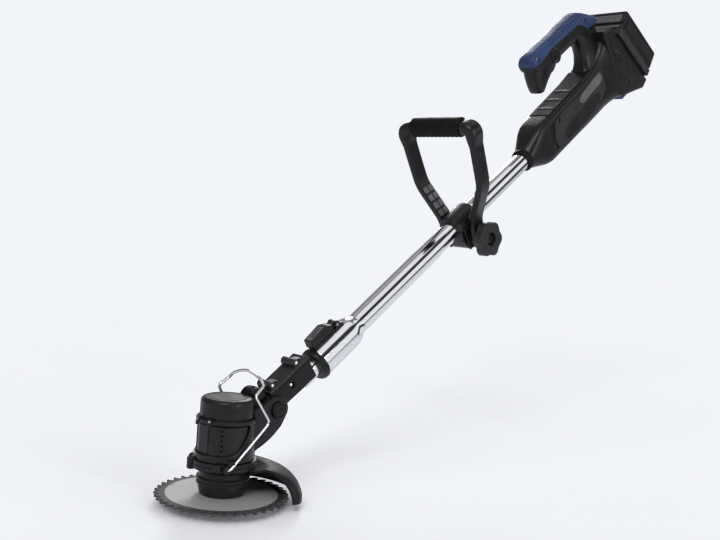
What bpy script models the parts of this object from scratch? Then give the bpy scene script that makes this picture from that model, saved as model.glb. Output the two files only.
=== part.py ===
"""Cordless grass trimmer with a telescopic shaft, a tilting motor head and a saw blade.

World frame: origin on the blade's axis at the ground, +X towards the rear handle, +Z up.
Shaft frame: +X along the shaft towards the rear handle, +Z square to it and upwards, origin
on the tube's axis beside the head's hinge.
Sizes are millimetres and degrees. The mesh builders turn them into metres.
"""

import math

import bmesh
import bpy
from mathutils import Matrix, Vector

MM = 0.001
GAP = 0.3  # clearance between pieces that touch
HALF_GAP = GAP / 2

# Stance
SHAFT_ANGLE = 35.5  # shaft above the ground
BLADE_TOP_Z = 12.0  # blade's upper face above the ground
HINGE_X = 56.0  # head's hinge behind the blade's axis
HINGE_HEIGHT = 93.0  # head's hinge above the blade
HINGE_RISE = 7.6  # head's hinge above the tube's axis

# Blade and spindle
BLADE_RADIUS = 75.0
BLADE_THICKNESS = 2.0
BLADE_TEETH = 40
TOOTH_DEPTH = 5.5
SPINDLE_RADIUS = 4.0
BLADE_FLANGE_RADIUS = 18.0
BLADE_FLANGE_HEIGHT = 5.0
WASHER_THICKNESS = 2.5
BOLT_HEAD_RADIUS = 7.5

# Motor head, heights above the blade's upper face
NOSE_LOW = 0.9
NOSE_TIP_RADIUS = 25.5
NOSE_RADIUS = 27.5
RING_LOW = 12.6
RING_HIGH = 20.6
RING_RADIUS = 29.5
NECK_RADIUS = 27.0
DECK_LOW = 28.3
DECK_HIGH = 41.0
DECK_RADIUS = 36.5
CASING_RADIUS = 33.5
CASING_HIGH = 87.5
CASING_WALL = 2.4
BAND_LOW_HIGH = 49.0  # top of the casing's lower band
BAND_HIGH_LOW = 83.0  # underside of the casing's upper band
CAP_RADIUS = 29.8
CAP_HIGH = 109.4
CAP_EDGE = 5.0
CAP_WALL = 2.6
CAP_LAP = 6.0  # depth of the cap inside the casing
CAN_RADIUS = 23.0
ARMATURE_RADIUS = 15.5
CAN_HEADROOM = 8.0  # from the can's top to the motor housing's
CAN_END = 3.0  # depth of the can's end inside it
BEARING_RADIUS = 11.0
BEARING_HEIGHT = 7.0
CHEEK_HALF_WIDTH = 22.5
CHEEK_RADIUS = 15.5
CHEEK_WALL = 8.0
HUMP_X = 36.0  # rounded knuckle above the cheeks, behind the cap
HUMP_HEIGHT = 103.0
HUMP_RADIUS = 14.5
HUMP_HALF_WIDTH = 13.0
HUMP_EDGE = 5.0

# Guard
GUARD_RADIUS = 90.0
GUARD_WALL = 3.0
GUARD_SPREAD = 56.0  # each side of straight back

# Wire bail
BAIL_WIRE = 3.0
BAIL_HALF_WIDTH = 35.6
BAIL_PIVOT_X = -20.0
BAIL_PIVOT_HEIGHT = 36.0
BAIL_BOSS_RADIUS = 5.0

# Lower arm
ARM_HALF_WIDTH = 13.0
ARM_LOW = -4.0
ARM_HIGH = 26.0
ARM_COVER = 4.0
ARM_END = 73.0
ARM_SPAN_START = 20.0
ARM_WALL = 3.0
HINGE_BOLT_RADIUS = 4.0
TILT_BUTTON_RADIUS = 10.0
TILT_BUTTON_HEIGHT = 3.5
TILT_TRAVEL = 2.5
BOSS_STATIONS = (14.0, 56.0)
BOSS_RISE = 8.0
BOSS_LENGTH = 12.0
CROSS_SCREW_RADIUS = 2.6

# Telescopic tubes
INNER_RADIUS = 11.7
TUBE_WALL = 1.4
OUTER_RADIUS = 13.5
OUTER_WALL = 1.5
SOCKET_RADIUS = 19.5
SOCKET_WALL = 1.5
FLANGE_RADIUS = 20.5
FLANGE_START = 82.0
FLANGE_LENGTH = 9.0
SOCKET_END = 150.0
TAPER_END = 170.0
INNER_TUBE_START = 58.0
INNER_TUBE_END = 440.0
OUTER_TUBE_END = 650.0
BUSH_DEPTH = 52.0

# Lock lever
LEVER_HALF_WIDTH = 7.0
LEVER_TONGUE = 4.5
LEVER_START = 90.0
LEVER_PIVOT = (136.0, 25.0)
LEVER_EAR = 4.5
LEVER_PIN_RADIUS = 1.8
SADDLE_TOP = 25.0

# Loop handle and its clamp
CLAMP_START = 382.0
CLAMP_LENGTH = 43.0
CLAMP_RADIUS = 20.0
CLAMP_CHEEK_INNER = 15.5
CLAMP_CHEEK_OUTER = 19.0
CLAMP_FOOT = -37.0
BOLT_STATION = 403.0
BOLT_DROP = 24.0
BOLT_RADIUS = 3.0
TOOTH_WASHER = 2.5
TOOTH_WASHER_RADIUS = 13.0
LOOP_LEAN = 28.0  # loop from the vertical, towards the head
LOOP_HEIGHT = 164.0
LOOP_HALF_WIDTH = 58.5
LOOP_SHOULDER = 80.0
LOOP_SHOULDER_HALF = 54.0
STRAP_WIDTH = 22.0
STRAP_THICKNESS = 9.0
GRIP_RADIUS = 14.5
GRIP_CORE = 8.5
GRIP_HALF_LENGTH = 42.0
GRIP_RIBS = 12
KNOB_RADIUS = 25.0
KNOB_LOBES = 6
KNOB_LENGTH = 14.0
KNOB_WELL = 10.0

# Rear housing
NOSE_START = 578.0
BODY_HALF_WIDTH = 24.0
GRIP_HALF_WIDTH = 17.0
DOCK_HALF_WIDTH = 33.0
BODY_LOW = -27.0
SHELL_WALL = 3.0
DOCK_TOP = (851.0, 72.0)
DOCK_LEAN = 29.0
COLLAR_RADIUS = 17.5
COLLAR_LENGTH = 8.0
HOUSING_SCREWS = ((655.0, 24.0), (631.0, -8.0), (852.0, -12.0))
COVER_SCREWS = ((655.0, 124.0), (796.0, 121.0))
SCREW_RADIUS = 3.0
SCREW_LENGTH = 9.0
TRIGGER_PIVOT = (670.0, 100.0)
TRIGGER_HALF_WIDTH = 6.0
SIDE_BUTTON = (701.0, 108.0)
SIDE_BUTTON_RADIUS = 7.5
TRIM_THICKNESS = 1.2

# Battery pack
PACK_LENGTH = 118.0
PACK_DEPTH = 46.0
PACK_HALF_WIDTH = 37.0
PACK_WALL = 2.5
PACK_BASE = 12.0
CELL_RADIUS = 9.2
CELL_LENGTH = 65.0
CELLS = 5

HINGE_Z = BLADE_TOP_Z + HINGE_HEIGHT
SMOOTH_ANGLE = math.radians(40)
ALONG_X = Matrix(((0, 0, 1, 0), (1, 0, 0, 0), (0, 1, 0, 0), (0, 0, 0, 1)))
ALONG_Y = Matrix(((0, 1, 0, 0), (0, 0, 1, 0), (1, 0, 0, 0), (0, 0, 0, 1)))
ALONG_Z = Matrix.Identity(4)


# ---------------------------------------------------------------- scene and materials


def clear_scene():
    for obj in list(bpy.data.objects):
        bpy.data.objects.remove(obj, do_unlink=True)


def make_material(name, colour, roughness, metallic=0.0):
    material = bpy.data.materials.new(name)
    material.use_nodes = True
    material.diffuse_color = (*colour, 1.0)
    shader = material.node_tree.nodes["Principled BSDF"]
    shader.inputs["Base Color"].default_value = (*colour, 1.0)
    shader.inputs["Roughness"].default_value = roughness
    shader.inputs["Metallic"].default_value = metallic
    return material


def black_plastic(name):
    return make_material(name, (0.018, 0.018, 0.019), 0.42)


def grey_plastic(name):
    return make_material(name, (0.075, 0.075, 0.078), 0.4)


def rubber(name):
    return make_material(name, (0.02, 0.02, 0.02), 0.75)


def blue_plastic(name):
    return make_material(name, (0.03, 0.065, 0.18), 0.4)


def chrome(name):
    return make_material(name, (0.8, 0.81, 0.83), 0.12, 1.0)


def steel(name):
    return make_material(name, (0.5, 0.51, 0.53), 0.35, 1.0)


def copper(name):
    return make_material(name, (0.6, 0.3, 0.16), 0.4, 1.0)


def cell_wrap(name):
    return make_material(name, (0.08, 0.3, 0.24), 0.45)


def make_empty(name, location, parent=None, tilt=0.0):
    """An empty at a place in millimetres, turned about Y so that its +X rises by tilt degrees."""
    empty = bpy.data.objects.new(name, None)
    empty.empty_display_size = 0.02
    empty.location = Vector(location) * MM
    empty.rotation_euler = (0.0, -math.radians(tilt), 0.0)
    empty.parent = parent
    bpy.context.scene.collection.objects.link(empty)
    return empty


# ---------------------------------------------------------------- mesh builders


def make_object(name, points, faces):
    """An object from points in millimetres, with its faces turned outwards."""
    mesh = bpy.data.meshes.new(name)
    mesh.from_pydata([Vector(point) * MM for point in points], [], faces)
    shape = bmesh.new()
    shape.from_mesh(mesh)
    bmesh.ops.remove_doubles(shape, verts=shape.verts, dist=1e-7)
    bmesh.ops.recalc_face_normals(shape, faces=shape.faces)
    shape.to_mesh(mesh)
    shape.free()
    obj = bpy.data.objects.new(name, mesh)
    bpy.context.scene.collection.objects.link(obj)
    return obj


def side_plate(name, outline, low, high):
    """An outline in X and Z made solid between two values of Y."""
    count = len(outline)
    points = [(x, low, z) for x, z in outline] + [(x, high, z) for x, z in outline]
    faces = [tuple(range(count)), tuple(range(2 * count - 1, count - 1, -1))]
    faces += [(i, (i + 1) % count, (i + 1) % count + count, i + count) for i in range(count)]
    return make_object(name, points, faces)


def box(name, low, high):
    outline = [(low[0], low[2]), (high[0], low[2]), (high[0], high[2]), (low[0], high[2])]
    return side_plate(name, outline, low[1], high[1])


def lathe(name, profile, axis=ALONG_Z, centre=(0, 0, 0), steps=32, start=0.0, sweep=360.0):
    """A closed profile of (radius, height) turned about an axis, with capped ends if not a full turn."""
    full = sweep >= 360.0
    turns = steps if full else steps + 1
    points = []
    for turn in range(turns):
        angle = math.radians(start + sweep * turn / steps)
        for radius, height in profile:
            points.append((radius * math.cos(angle), radius * math.sin(angle), height))
    count = len(profile)
    faces = []
    for turn in range(steps):
        here = turn * count
        there = ((turn + 1) % turns) * count
        for i in range(count):
            j = (i + 1) % count
            faces.append((here + i, here + j, there + j, there + i))
    if not full:
        faces.append(tuple(range(count)))
        faces.append(tuple(range(steps * count, (steps + 1) * count)))
    points = [axis @ Vector(point) + Vector(centre) for point in points]
    return make_object(name, points, faces)


def turned(name, profile, axis=ALONG_Z, centre=(0, 0, 0), steps=32):
    """A solid of revolution: profile runs from the axis, round the outside and back to the axis."""
    points = [Vector((0, 0, profile[0][1]))]
    faces = []
    rings = profile[1:-1]
    for radius, height in rings:
        for turn in range(steps):
            angle = 2 * math.pi * turn / steps
            points.append(Vector((radius * math.cos(angle), radius * math.sin(angle), height)))
    points.append(Vector((0, 0, profile[-1][1])))
    last = len(points) - 1
    for turn in range(steps):
        after = (turn + 1) % steps
        faces.append((0, 1 + after, 1 + turn))
        faces.append((last, last - steps + turn, last - steps + after))
        for ring in range(len(rings) - 1):
            here = 1 + ring * steps
            there = here + steps
            faces.append((here + turn, here + after, there + after, there + turn))
    return make_object(name, [axis @ point + Vector(centre) for point in points], faces)


def rod(name, radius, low, high, axis=ALONG_Z, centre=(0, 0, 0), steps=20):
    return turned(name, [(0, low), (radius, low), (radius, high), (0, high)], axis, centre, steps)


def ring(name, inner, outer, low, high, axis=ALONG_Z, centre=(0, 0, 0), steps=24):
    profile = [(inner, low), (outer, low), (outer, high), (inner, high)]
    return lathe(name, profile, axis, centre, steps)


def apply_modifiers(obj):
    graph = bpy.context.evaluated_depsgraph_get()
    graph.update()
    mesh = bpy.data.meshes.new_from_object(obj.evaluated_get(graph))
    obj.modifiers.clear()
    obj.data = mesh


def combine(target, other, operation):
    """A Boolean whose second shape is used up."""
    boolean = target.modifiers.new(operation, "BOOLEAN")
    boolean.operation = operation
    boolean.solver = "EXACT"
    boolean.object = other
    apply_modifiers(target)
    bpy.data.objects.remove(other, do_unlink=True)


def cut(target, *others):
    for other in others:
        combine(target, other, "DIFFERENCE")


def join(target, *others):
    for other in others:
        combine(target, other, "UNION")


def keep(target, other):
    combine(target, other, "INTERSECT")


def round_edges(obj, width, segments=2, angle=40.0):
    bevel = obj.modifiers.new("Bevel", "BEVEL")
    bevel.width = width * MM
    bevel.segments = segments
    bevel.limit_method = "ANGLE"
    bevel.angle_limit = math.radians(angle)
    bevel.use_clamp_overlap = True
    apply_modifiers(obj)


def finish(obj, body, material, smooth=False):
    """Hangs a finished piece, made in its frame's coordinates, on the empty of its body."""
    obj.data.transform(Matrix.Translation(-body.location))
    obj.parent = body
    obj.data.materials.clear()
    obj.data.materials.append(material)
    if smooth:
        obj.data.shade_smooth()
        obj.data.set_sharp_from_angle(angle=SMOOTH_ANGLE)
    return obj


# ---------------------------------------------------------------- outline helpers


def arc(centre, radius, start, end, steps):
    return [
        (
            centre[0] + radius * math.cos(math.radians(start + (end - start) * i / steps)),
            centre[1] + radius * math.sin(math.radians(start + (end - start) * i / steps)),
        )
        for i in range(steps + 1)
    ]


def circle(centre, radius, steps=24):
    return arc(centre, radius, 0, 360 - 360 / steps, steps - 1)


def inset(outline, distance):
    """The outline moved inwards by a wall. It runs anticlockwise."""
    count = len(outline)
    moved = []
    for i in range(count):
        before = Vector(outline[i - 1])
        here = Vector(outline[i])
        after = Vector(outline[(i + 1) % count])
        first = (here - before).normalized()
        second = (after - here).normalized()
        normal_first = Vector((-first.y, first.x))
        normal_second = Vector((-second.y, second.x))
        bisector = (normal_first + normal_second).normalized()
        reach = distance / max(0.4, bisector.dot(normal_first))
        moved.append(tuple(here + bisector * reach))
    return moved


def dock_point(along, out):
    """A place in the shaft frame from the pack's own: along its length, and out from the dock."""
    lean = math.radians(DOCK_LEAN)
    station = DOCK_TOP[0] + along * math.sin(lean) + out * math.cos(lean)
    height = DOCK_TOP[1] - along * math.cos(lean) + out * math.sin(lean)
    return (station, height)


def dock_outline(along_low, along_high, out_low, out_high):
    corners = ((along_low, out_low), (along_high, out_low), (along_high, out_high), (along_low, out_high))
    return [dock_point(*corner) for corner in corners]


# ---------------------------------------------------------------- blade and spindle


def can_top():
    return BLADE_TOP_Z + CASING_HIGH - CAP_LAP - GAP - CAN_HEADROOM


def build_rotor(body):
    top = BLADE_TOP_Z
    under = top - BLADE_THICKNESS
    outline = []
    for tooth in range(BLADE_TEETH):
        step = 360 / BLADE_TEETH
        for share, radius in (
            (0.0, BLADE_RADIUS), (0.22, BLADE_RADIUS - 1.2), (0.45, BLADE_RADIUS - TOOTH_DEPTH)
        ):
            angle = math.radians(step * (tooth + share))
            outline.append((radius * math.cos(angle), radius * math.sin(angle)))
        angle = math.radians(step * (tooth + 0.86))
        outline.append(
            ((BLADE_RADIUS - TOOTH_DEPTH) * math.cos(angle), (BLADE_RADIUS - TOOTH_DEPTH) * math.sin(angle))
        )
    count = len(outline)
    points = [(x, y, under) for x, y in outline] + [(x, y, top) for x, y in outline]
    faces = [tuple(range(count)), tuple(range(2 * count - 1, count - 1, -1))]
    faces += [(i, (i + 1) % count, (i + 1) % count + count, i + count) for i in range(count)]
    blade = make_object("saw_blade", points, faces)
    cut(blade, rod("bore", SPINDLE_RADIUS + GAP, under - 2, top + 2))
    finish(blade, body, steel("blade_steel"))

    flange_top = top + GAP + BLADE_FLANGE_HEIGHT
    shaft_top = can_top() - CAN_END + BEARING_HEIGHT + 1
    washer_low = under - GAP - WASHER_THICKNESS
    spindle = rod("motor_spindle", SPINDLE_RADIUS, washer_low + GAP, shaft_top, steps=16)
    cut(spindle, rod("thread_hole", SPINDLE_RADIUS / 2 + GAP, washer_low - 5, flange_top + 6, steps=16))
    finish(spindle, body, steel("spindle_steel"), smooth=True)

    flange = ring("blade_flange", SPINDLE_RADIUS + GAP, BLADE_FLANGE_RADIUS, top + GAP, flange_top)
    finish(flange, body, steel("flange_steel"), smooth=True)

    washer = ring("clamp_washer", SPINDLE_RADIUS + GAP, BLADE_FLANGE_RADIUS, washer_low, under - GAP)
    finish(washer, body, steel("washer_steel"), smooth=True)

    bolt = rod("blade_bolt", BOLT_HEAD_RADIUS, 0, washer_low - GAP, steps=6)
    join(bolt, rod("bolt_shank", SPINDLE_RADIUS / 2, 1, flange_top + 4, steps=16))
    finish(bolt, body, steel("bolt_steel"))

    core_low = BLADE_TOP_Z + DECK_HIGH + 4
    core_high = can_top() - CAN_END - 1
    armature = ring("armature", SPINDLE_RADIUS + GAP, ARMATURE_RADIUS, core_low, core_high, steps=24)
    finish(armature, body, copper("winding_copper"), smooth=True)


# ---------------------------------------------------------------- motor head


def bail_boss(side):
    outer = BAIL_HALF_WIDTH - BAIL_WIRE / 2 - 2 * GAP
    centre = (BAIL_PIVOT_X, 0, BLADE_TOP_Z + BAIL_PIVOT_HEIGHT)
    low, high = sorted((side * 18, side * outer))
    return rod("bail_boss", BAIL_BOSS_RADIUS, low, high, ALONG_Y, centre, 16)


def build_nose(body):
    z = BLADE_TOP_Z
    profile = [
        (0, z + NOSE_LOW),
        (NOSE_TIP_RADIUS, z + NOSE_LOW),
        (NOSE_RADIUS, z + RING_LOW),
        (RING_RADIUS, z + RING_LOW),
        (RING_RADIUS, z + RING_HIGH),
        (NECK_RADIUS, z + RING_HIGH),
        (NECK_RADIUS, z + DECK_LOW),
        (DECK_RADIUS, z + DECK_LOW),
        (DECK_RADIUS, z + DECK_HIGH),
        (0, z + DECK_HIGH),
    ]
    nose = turned("nose_housing", profile, steps=28)
    join(nose, bail_boss(-1), bail_boss(1))
    flange_well = BLADE_TOP_Z + BLADE_FLANGE_HEIGHT + 3 * GAP
    bearing_low = z + RING_LOW
    cut(nose, rod("flange_well", BLADE_FLANGE_RADIUS + 1, z - 5, flange_well, steps=32))
    cut(nose, rod("bore", SPINDLE_RADIUS + 2, z - 5, z + DECK_HIGH + 5, steps=20))
    cut(nose, rod("bearing_seat", BEARING_RADIUS + GAP, bearing_low, z + DECK_HIGH + 5, steps=28))
    for side in (-1, 1):
        centre = (BAIL_PIVOT_X, 0, z + BAIL_PIVOT_HEIGHT)
        low, high = sorted((side * 24, side * 60))
        cut(nose, rod("bail_bore", BAIL_WIRE / 2 + GAP, low, high, ALONG_Y, centre, 12))
    finish(nose, body, black_plastic("nose_black"), smooth=True)

    bearing = ring(
        "lower_bearing",
        SPINDLE_RADIUS + GAP,
        BEARING_RADIUS,
        bearing_low + GAP,
        bearing_low + BEARING_HEIGHT,
    )
    finish(bearing, body, steel("bearing_steel"), smooth=True)


def build_motor(body):
    z = BLADE_TOP_Z
    outer = CASING_RADIUS - CASING_WALL - GAP
    wall = 2.2
    low = z + DECK_HIGH + GAP
    high = z + CASING_HIGH - CAP_LAP - GAP
    housing = ring("motor_housing", outer - wall, outer, low, high, steps=32)
    for side in (-1, 1):
        for height in range(5):
            centre_z = z + 55 + 5.5 * height
            slot = box("slot", (-3, -1.4, centre_z - 1.4), (40, 1.4, centre_z + 1.4))
            slot.data.transform(Matrix.Rotation(math.radians(side * 134), 4, "Z"))
            cut(housing, slot)
    finish(housing, body, grey_plastic("motor_housing_grey"), smooth=True)

    can_low = low + GAP
    can_high = can_top()
    can = ring("motor_can", ARMATURE_RADIUS + 1.2, CAN_RADIUS, can_low, can_high, steps=24)
    join(can, ring("can_end", BEARING_RADIUS + GAP, CAN_RADIUS, can_high - CAN_END, can_high + 5, steps=24))
    finish(can, body, steel("can_steel"), smooth=True)

    bearing_low = can_high - CAN_END + GAP
    bearing = ring(
        "upper_bearing", SPINDLE_RADIUS + GAP, BEARING_RADIUS, bearing_low, bearing_low + BEARING_HEIGHT
    )
    finish(bearing, body, steel("upper_bearing_steel"), smooth=True)


def casing_outline():
    """Side view of the casing's arm, from the hinge's ear down to the lower band."""
    z = BLADE_TOP_Z
    ear = arc((HINGE_X, HINGE_Z), CHEEK_RADIUS, 112, -15, 12)
    back = [(62.5, z + 73.5), (51, z + 62.5), (36, z + 53.5), (26, z + 49.5), (20, z + DECK_HIGH + GAP)]
    return ear + back + [(-4, z + DECK_HIGH + GAP), (-4, z + CASING_HIGH), (30, z + 98.5)]


def window_outline():
    """The front opening of the casing between its two bands, in side view."""
    z = BLADE_TOP_Z
    low = z + BAND_LOW_HIGH
    high = z + BAND_HIGH_LOW
    front = -2 * CASING_RADIUS
    return [
        (front, low), (-22, low), (-13, low + 3.5), (-4, low + 11), (4, low + 21), (10, high), (front, high)
    ]


def hump_profile():
    """Half the section of the rounded knuckle over the casing's slot, as (radius, across)."""
    half = HUMP_HALF_WIDTH
    edge = HUMP_EDGE
    side = [
        (HUMP_RADIUS - edge, half), (HUMP_RADIUS - 0.3 * edge, half - 0.3 * edge), (HUMP_RADIUS, half - edge)
    ]
    return [(0, -half)] + [(radius, -across) for radius, across in side] + side[::-1] + [(0, half)]


def build_casing(body):
    z = BLADE_TOP_Z
    low = z + DECK_HIGH + GAP
    inner = CASING_RADIUS - CASING_WALL
    for name, side in (("casing_left", -1), ("casing_right", 1)):
        shell = rod(name, CASING_RADIUS, low, z + CASING_HIGH, steps=48)
        first, second = sorted((side * 4.0, side * CHEEK_HALF_WIDTH))
        cheek = side_plate("cheek", casing_outline(), first, second)
        round_edges(cheek, 2.0, 1)
        join(shell, cheek)
        hump = turned("hump", hump_profile(), ALONG_Y, (HUMP_X, 0, z + HUMP_HEIGHT), 28)
        join(shell, hump)
        cut(shell, rod("motor_bore", inner, low - 5, z + CASING_HIGH + 5, steps=48))
        cut(shell, rod("cap_bore", CAP_RADIUS + GAP, z + CASING_HIGH - CAP_LAP, z + CAP_HIGH + 20, steps=48))
        cut(shell, side_plate("window", window_outline(), -60, 60))
        cut(shell, arm_sweep_clearance())
        cut(shell, rod("bolt_hole", HINGE_BOLT_RADIUS + GAP, -60, 60, ALONG_Y, (HINGE_X, 0, HINGE_Z), 20))
        if side < 0:
            well_low = -CHEEK_HALF_WIDTH - 5
            well = rod(
                "button_well",
                TILT_BUTTON_RADIUS + GAP,
                well_low,
                -CHEEK_HALF_WIDTH + 4.5,
                ALONG_Y,
                (HINGE_X, 0, HINGE_Z),
                28,
            )
            cut(shell, well)
        first, second = sorted((side * HALF_GAP, side * 100))
        keep(shell, box("half", (-200, first, -50), (200, second, 300)))
        finish(shell, body, black_plastic(name + "_black"), smooth=True)


def arm_sweep_clearance():
    """The slot between the casing's cheeks in which the arm's knuckle turns."""
    half = ARM_HALF_WIDTH + 1
    reach = ARM_HIGH - HINGE_RISE + 3
    slot = rod("arm_slot", reach, -half, half, ALONG_Y, (HINGE_X, 0, HINGE_Z), 32)
    z = BLADE_TOP_Z
    behind = side_plate(
        "behind",
        [(HINGE_X, z + 60), (HINGE_X + 60, z + 60), (HINGE_X + 60, z + 140), (HINGE_X, z + 140)],
        -half,
        half,
    )
    join(slot, behind)
    return slot


def build_cap(body):
    z = BLADE_TOP_Z
    low = z + CASING_HIGH - CAP_LAP + GAP
    high = z + CAP_HIGH
    shoulder = [
        (
            CAP_RADIUS - CAP_EDGE + CAP_EDGE * math.sin(math.radians(a)),
            high - CAP_EDGE + CAP_EDGE * math.cos(math.radians(a)),
        )
        for a in (90, 60, 30, 0)
    ]
    outside = [(0, low), (CAP_RADIUS, low)] + shoulder + [(0, high)]
    cap = turned("motor_cap", outside, steps=32)
    hollow = [
        (0, low - 5),
        (CAP_RADIUS - CAP_WALL, low - 5),
        (CAP_RADIUS - CAP_WALL, high - CAP_EDGE),
        (CAP_RADIUS - CAP_EDGE - CAP_WALL, high - CAP_WALL),
        (0, high - CAP_WALL),
    ]
    cut(cap, turned("cap_hollow", hollow, steps=32))
    finish(cap, body, black_plastic("cap_black"), smooth=True)


def build_guard(body):
    z = BLADE_TOP_Z
    top = [
        (DECK_RADIUS - 6, 24.5),
        (50, 33.5),
        (62, 31),
        (76, 25),
        (86, 14.5),
        (GUARD_RADIUS, 4),
        (GUARD_RADIUS, -3),
    ]
    under = [(radius - GUARD_WALL * 0.7, height - GUARD_WALL) for radius, height in reversed(top[1:-1])]
    profile = top + [(GUARD_RADIUS - GUARD_WALL, -3)] + under + [(DECK_RADIUS - 6, 21.5)]
    placed = [(radius, z + height) for radius, height in profile]
    guard = lathe("blade_guard", placed, steps=18, start=-GUARD_SPREAD, sweep=2 * GUARD_SPREAD)
    finish(guard, body, black_plastic("guard_black"), smooth=True)


def bail_path():
    """Half of the wire, from its pivot up one side to the middle, as (x, y, z)."""
    z = BLADE_TOP_Z
    half = BAIL_HALF_WIDTH
    pivot_z = z + BAIL_PIVOT_HEIGHT
    return [
        (BAIL_PIVOT_X, half - 9, pivot_z),
        (BAIL_PIVOT_X, half, pivot_z),
        (32.5, half, z + 84),
        (11, half - 2.5, z + 115),
        (25, half - 5, z + 125),
        (25.5, half - 10, z + 130),
        (25.5, half - 21, z + 134.5),
        (25.5, 0, z + 137),
    ]


def wire(name, path, radius, sides):
    """A round bar along a path of points, mitred at each of them."""
    points = []
    count = len(path)
    normal = None
    for i, here in enumerate(path):
        here = Vector(here)
        before = (here - Vector(path[i - 1])).normalized() if i else None
        after = (Vector(path[i + 1]) - here).normalized() if i < count - 1 else None
        before = before or after
        after = after or before
        along = (before + after).normalized()
        if normal is None:
            normal = along.orthogonal().normalized()
        normal = (normal - along * normal.dot(along)).normalized()
        other = along.cross(normal)
        bend = (after - before)
        stretch = 1 / max(0.5, along.dot(after))
        for side in range(sides):
            angle = 2 * math.pi * side / sides
            offset = (normal * math.cos(angle) + other * math.sin(angle)) * radius
            if bend.length > 1e-6:
                crook = bend.normalized()
                offset += crook * offset.dot(crook) * (stretch - 1)
            points.append(here + offset)
    faces = [tuple(range(sides)), tuple(range(count * sides - 1, (count - 1) * sides - 1, -1))]
    for i in range(count - 1):
        for side in range(sides):
            after = (side + 1) % sides
            faces.append(
                (i * sides + side, i * sides + after, (i + 1) * sides + after, (i + 1) * sides + side)
            )
    return make_object(name, points, faces)


def build_bail(body):
    half = bail_path()
    path = half + [(x, -y, z) for x, y, z in reversed(half[:-1])]
    bail = wire("wire_bail", path, BAIL_WIRE / 2, 8)
    finish(bail, body, chrome("bail_chrome"), smooth=True)


# ---------------------------------------------------------------- lower arm and hinge


def build_arm(body):
    half = ARM_HALF_WIDTH
    cover_low = ARM_HIGH - ARM_COVER
    knuckle = cover_low - GAP - HINGE_RISE
    arm = side_plate(
        "arm_beam",
        [(ARM_END, ARM_LOW), (ARM_END, cover_low - GAP)]
        + arc(
            (0, HINGE_RISE),
            knuckle,
            90,
            270 - math.degrees(math.acos(min(1, (HINGE_RISE - ARM_LOW) / knuckle))),
            14,
        ),
        -half,
        half,
    )
    round_edges(arm, 1.5, 1)
    cut(
        arm,
        box(
            "cavity",
            (ARM_SPAN_START, -half + ARM_WALL, ARM_LOW + ARM_WALL),
            (INNER_TUBE_START - 2, half - ARM_WALL, ARM_HIGH),
        ),
    )
    cut(arm, rod("hinge_hole", HINGE_BOLT_RADIUS + GAP, -30, 30, ALONG_Y, (0, 0, HINGE_RISE), 20))
    cut(
        arm,
        rod("tube_seat", INNER_RADIUS + GAP, INNER_TUBE_START - GAP, ARM_END + 5, ALONG_X, (0, 0, 0), 28),
    )
    cut(arm, rod("side_screw_hole", CROSS_SCREW_RADIUS + 1, -half - 2, -half + 6, ALONG_Y, (37, 0, 12), 16))
    finish(arm, body, black_plastic("arm_black"))

    cover = box("arm_cover", (6, -half, cover_low), (ARM_END, half, ARM_HIGH))
    round_edges(cover, 1.2, 1)
    for station in BOSS_STATIONS:
        boss = box(
            "boss", (station - 4.5, -half + 1, ARM_HIGH - 2), (station + 4.5, half - 1, ARM_HIGH + BOSS_RISE)
        )
        round_edges(boss, 3.0, 2)
        join(cover, boss)
    for station in BOSS_STATIONS:
        centre = (station, 0, ARM_HIGH + BOSS_RISE / 2)
        cut(cover, rod("screw_hole", CROSS_SCREW_RADIUS + GAP, -half - 2, 0, ALONG_Y, centre, 14))
    finish(cover, body, grey_plastic("arm_cover_grey"))

    for index, station in enumerate(BOSS_STATIONS, 1):
        centre = (station, 0, ARM_HIGH + BOSS_RISE / 2)
        screw = rod(f"cross_screw_{index}", CROSS_SCREW_RADIUS, -half + 0.5, -GAP, ALONG_Y, centre, 14)
        finish(screw, body, chrome(f"cross_screw_{index}_chrome"), smooth=True)
    screw = rod("arm_side_screw", CROSS_SCREW_RADIUS, -half + 0.6, -half + 5.5, ALONG_Y, (37, 0, 12), 14)
    finish(screw, body, chrome("arm_side_screw_chrome"), smooth=True)

    tube = lathe(
        "inner_tube",
        [
            (INNER_RADIUS - TUBE_WALL, INNER_TUBE_START),
            (INNER_RADIUS, INNER_TUBE_START),
            (INNER_RADIUS, INNER_TUBE_END),
            (INNER_RADIUS - TUBE_WALL, INNER_TUBE_END),
        ],
        ALONG_X,
        steps=32,
    )
    finish(tube, body, chrome("inner_tube_chrome"), smooth=True)


def build_hinge_bolt(body):
    """The hinge's axle, fixed in the arm, with a blind well for the tilt button's stem."""
    reach = CHEEK_HALF_WIDTH - CHEEK_WALL
    bolt = rod(
        "hinge_bolt", HINGE_BOLT_RADIUS, -reach, CHEEK_HALF_WIDTH - 0.5, ALONG_Y, (0, 0, HINGE_RISE), 20
    )
    finish(bolt, body, steel("hinge_bolt_steel"), smooth=True)


def build_tilt_button(body):
    face = -CHEEK_HALF_WIDTH - TILT_BUTTON_HEIGHT
    centre = (HINGE_X, 0, HINGE_Z)
    profile = [
        (0, face),
        (TILT_BUTTON_RADIUS - 1.5, face),
        (TILT_BUTTON_RADIUS, face + 1.2),
        (TILT_BUTTON_RADIUS, face + 4.8),
        (0, face + 4.8),
    ]
    button = turned("tilt_button", profile, ALONG_Y, centre, 28)
    finish(button, body, black_plastic("tilt_button_black"), smooth=True)


# ---------------------------------------------------------------- shaft


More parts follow.
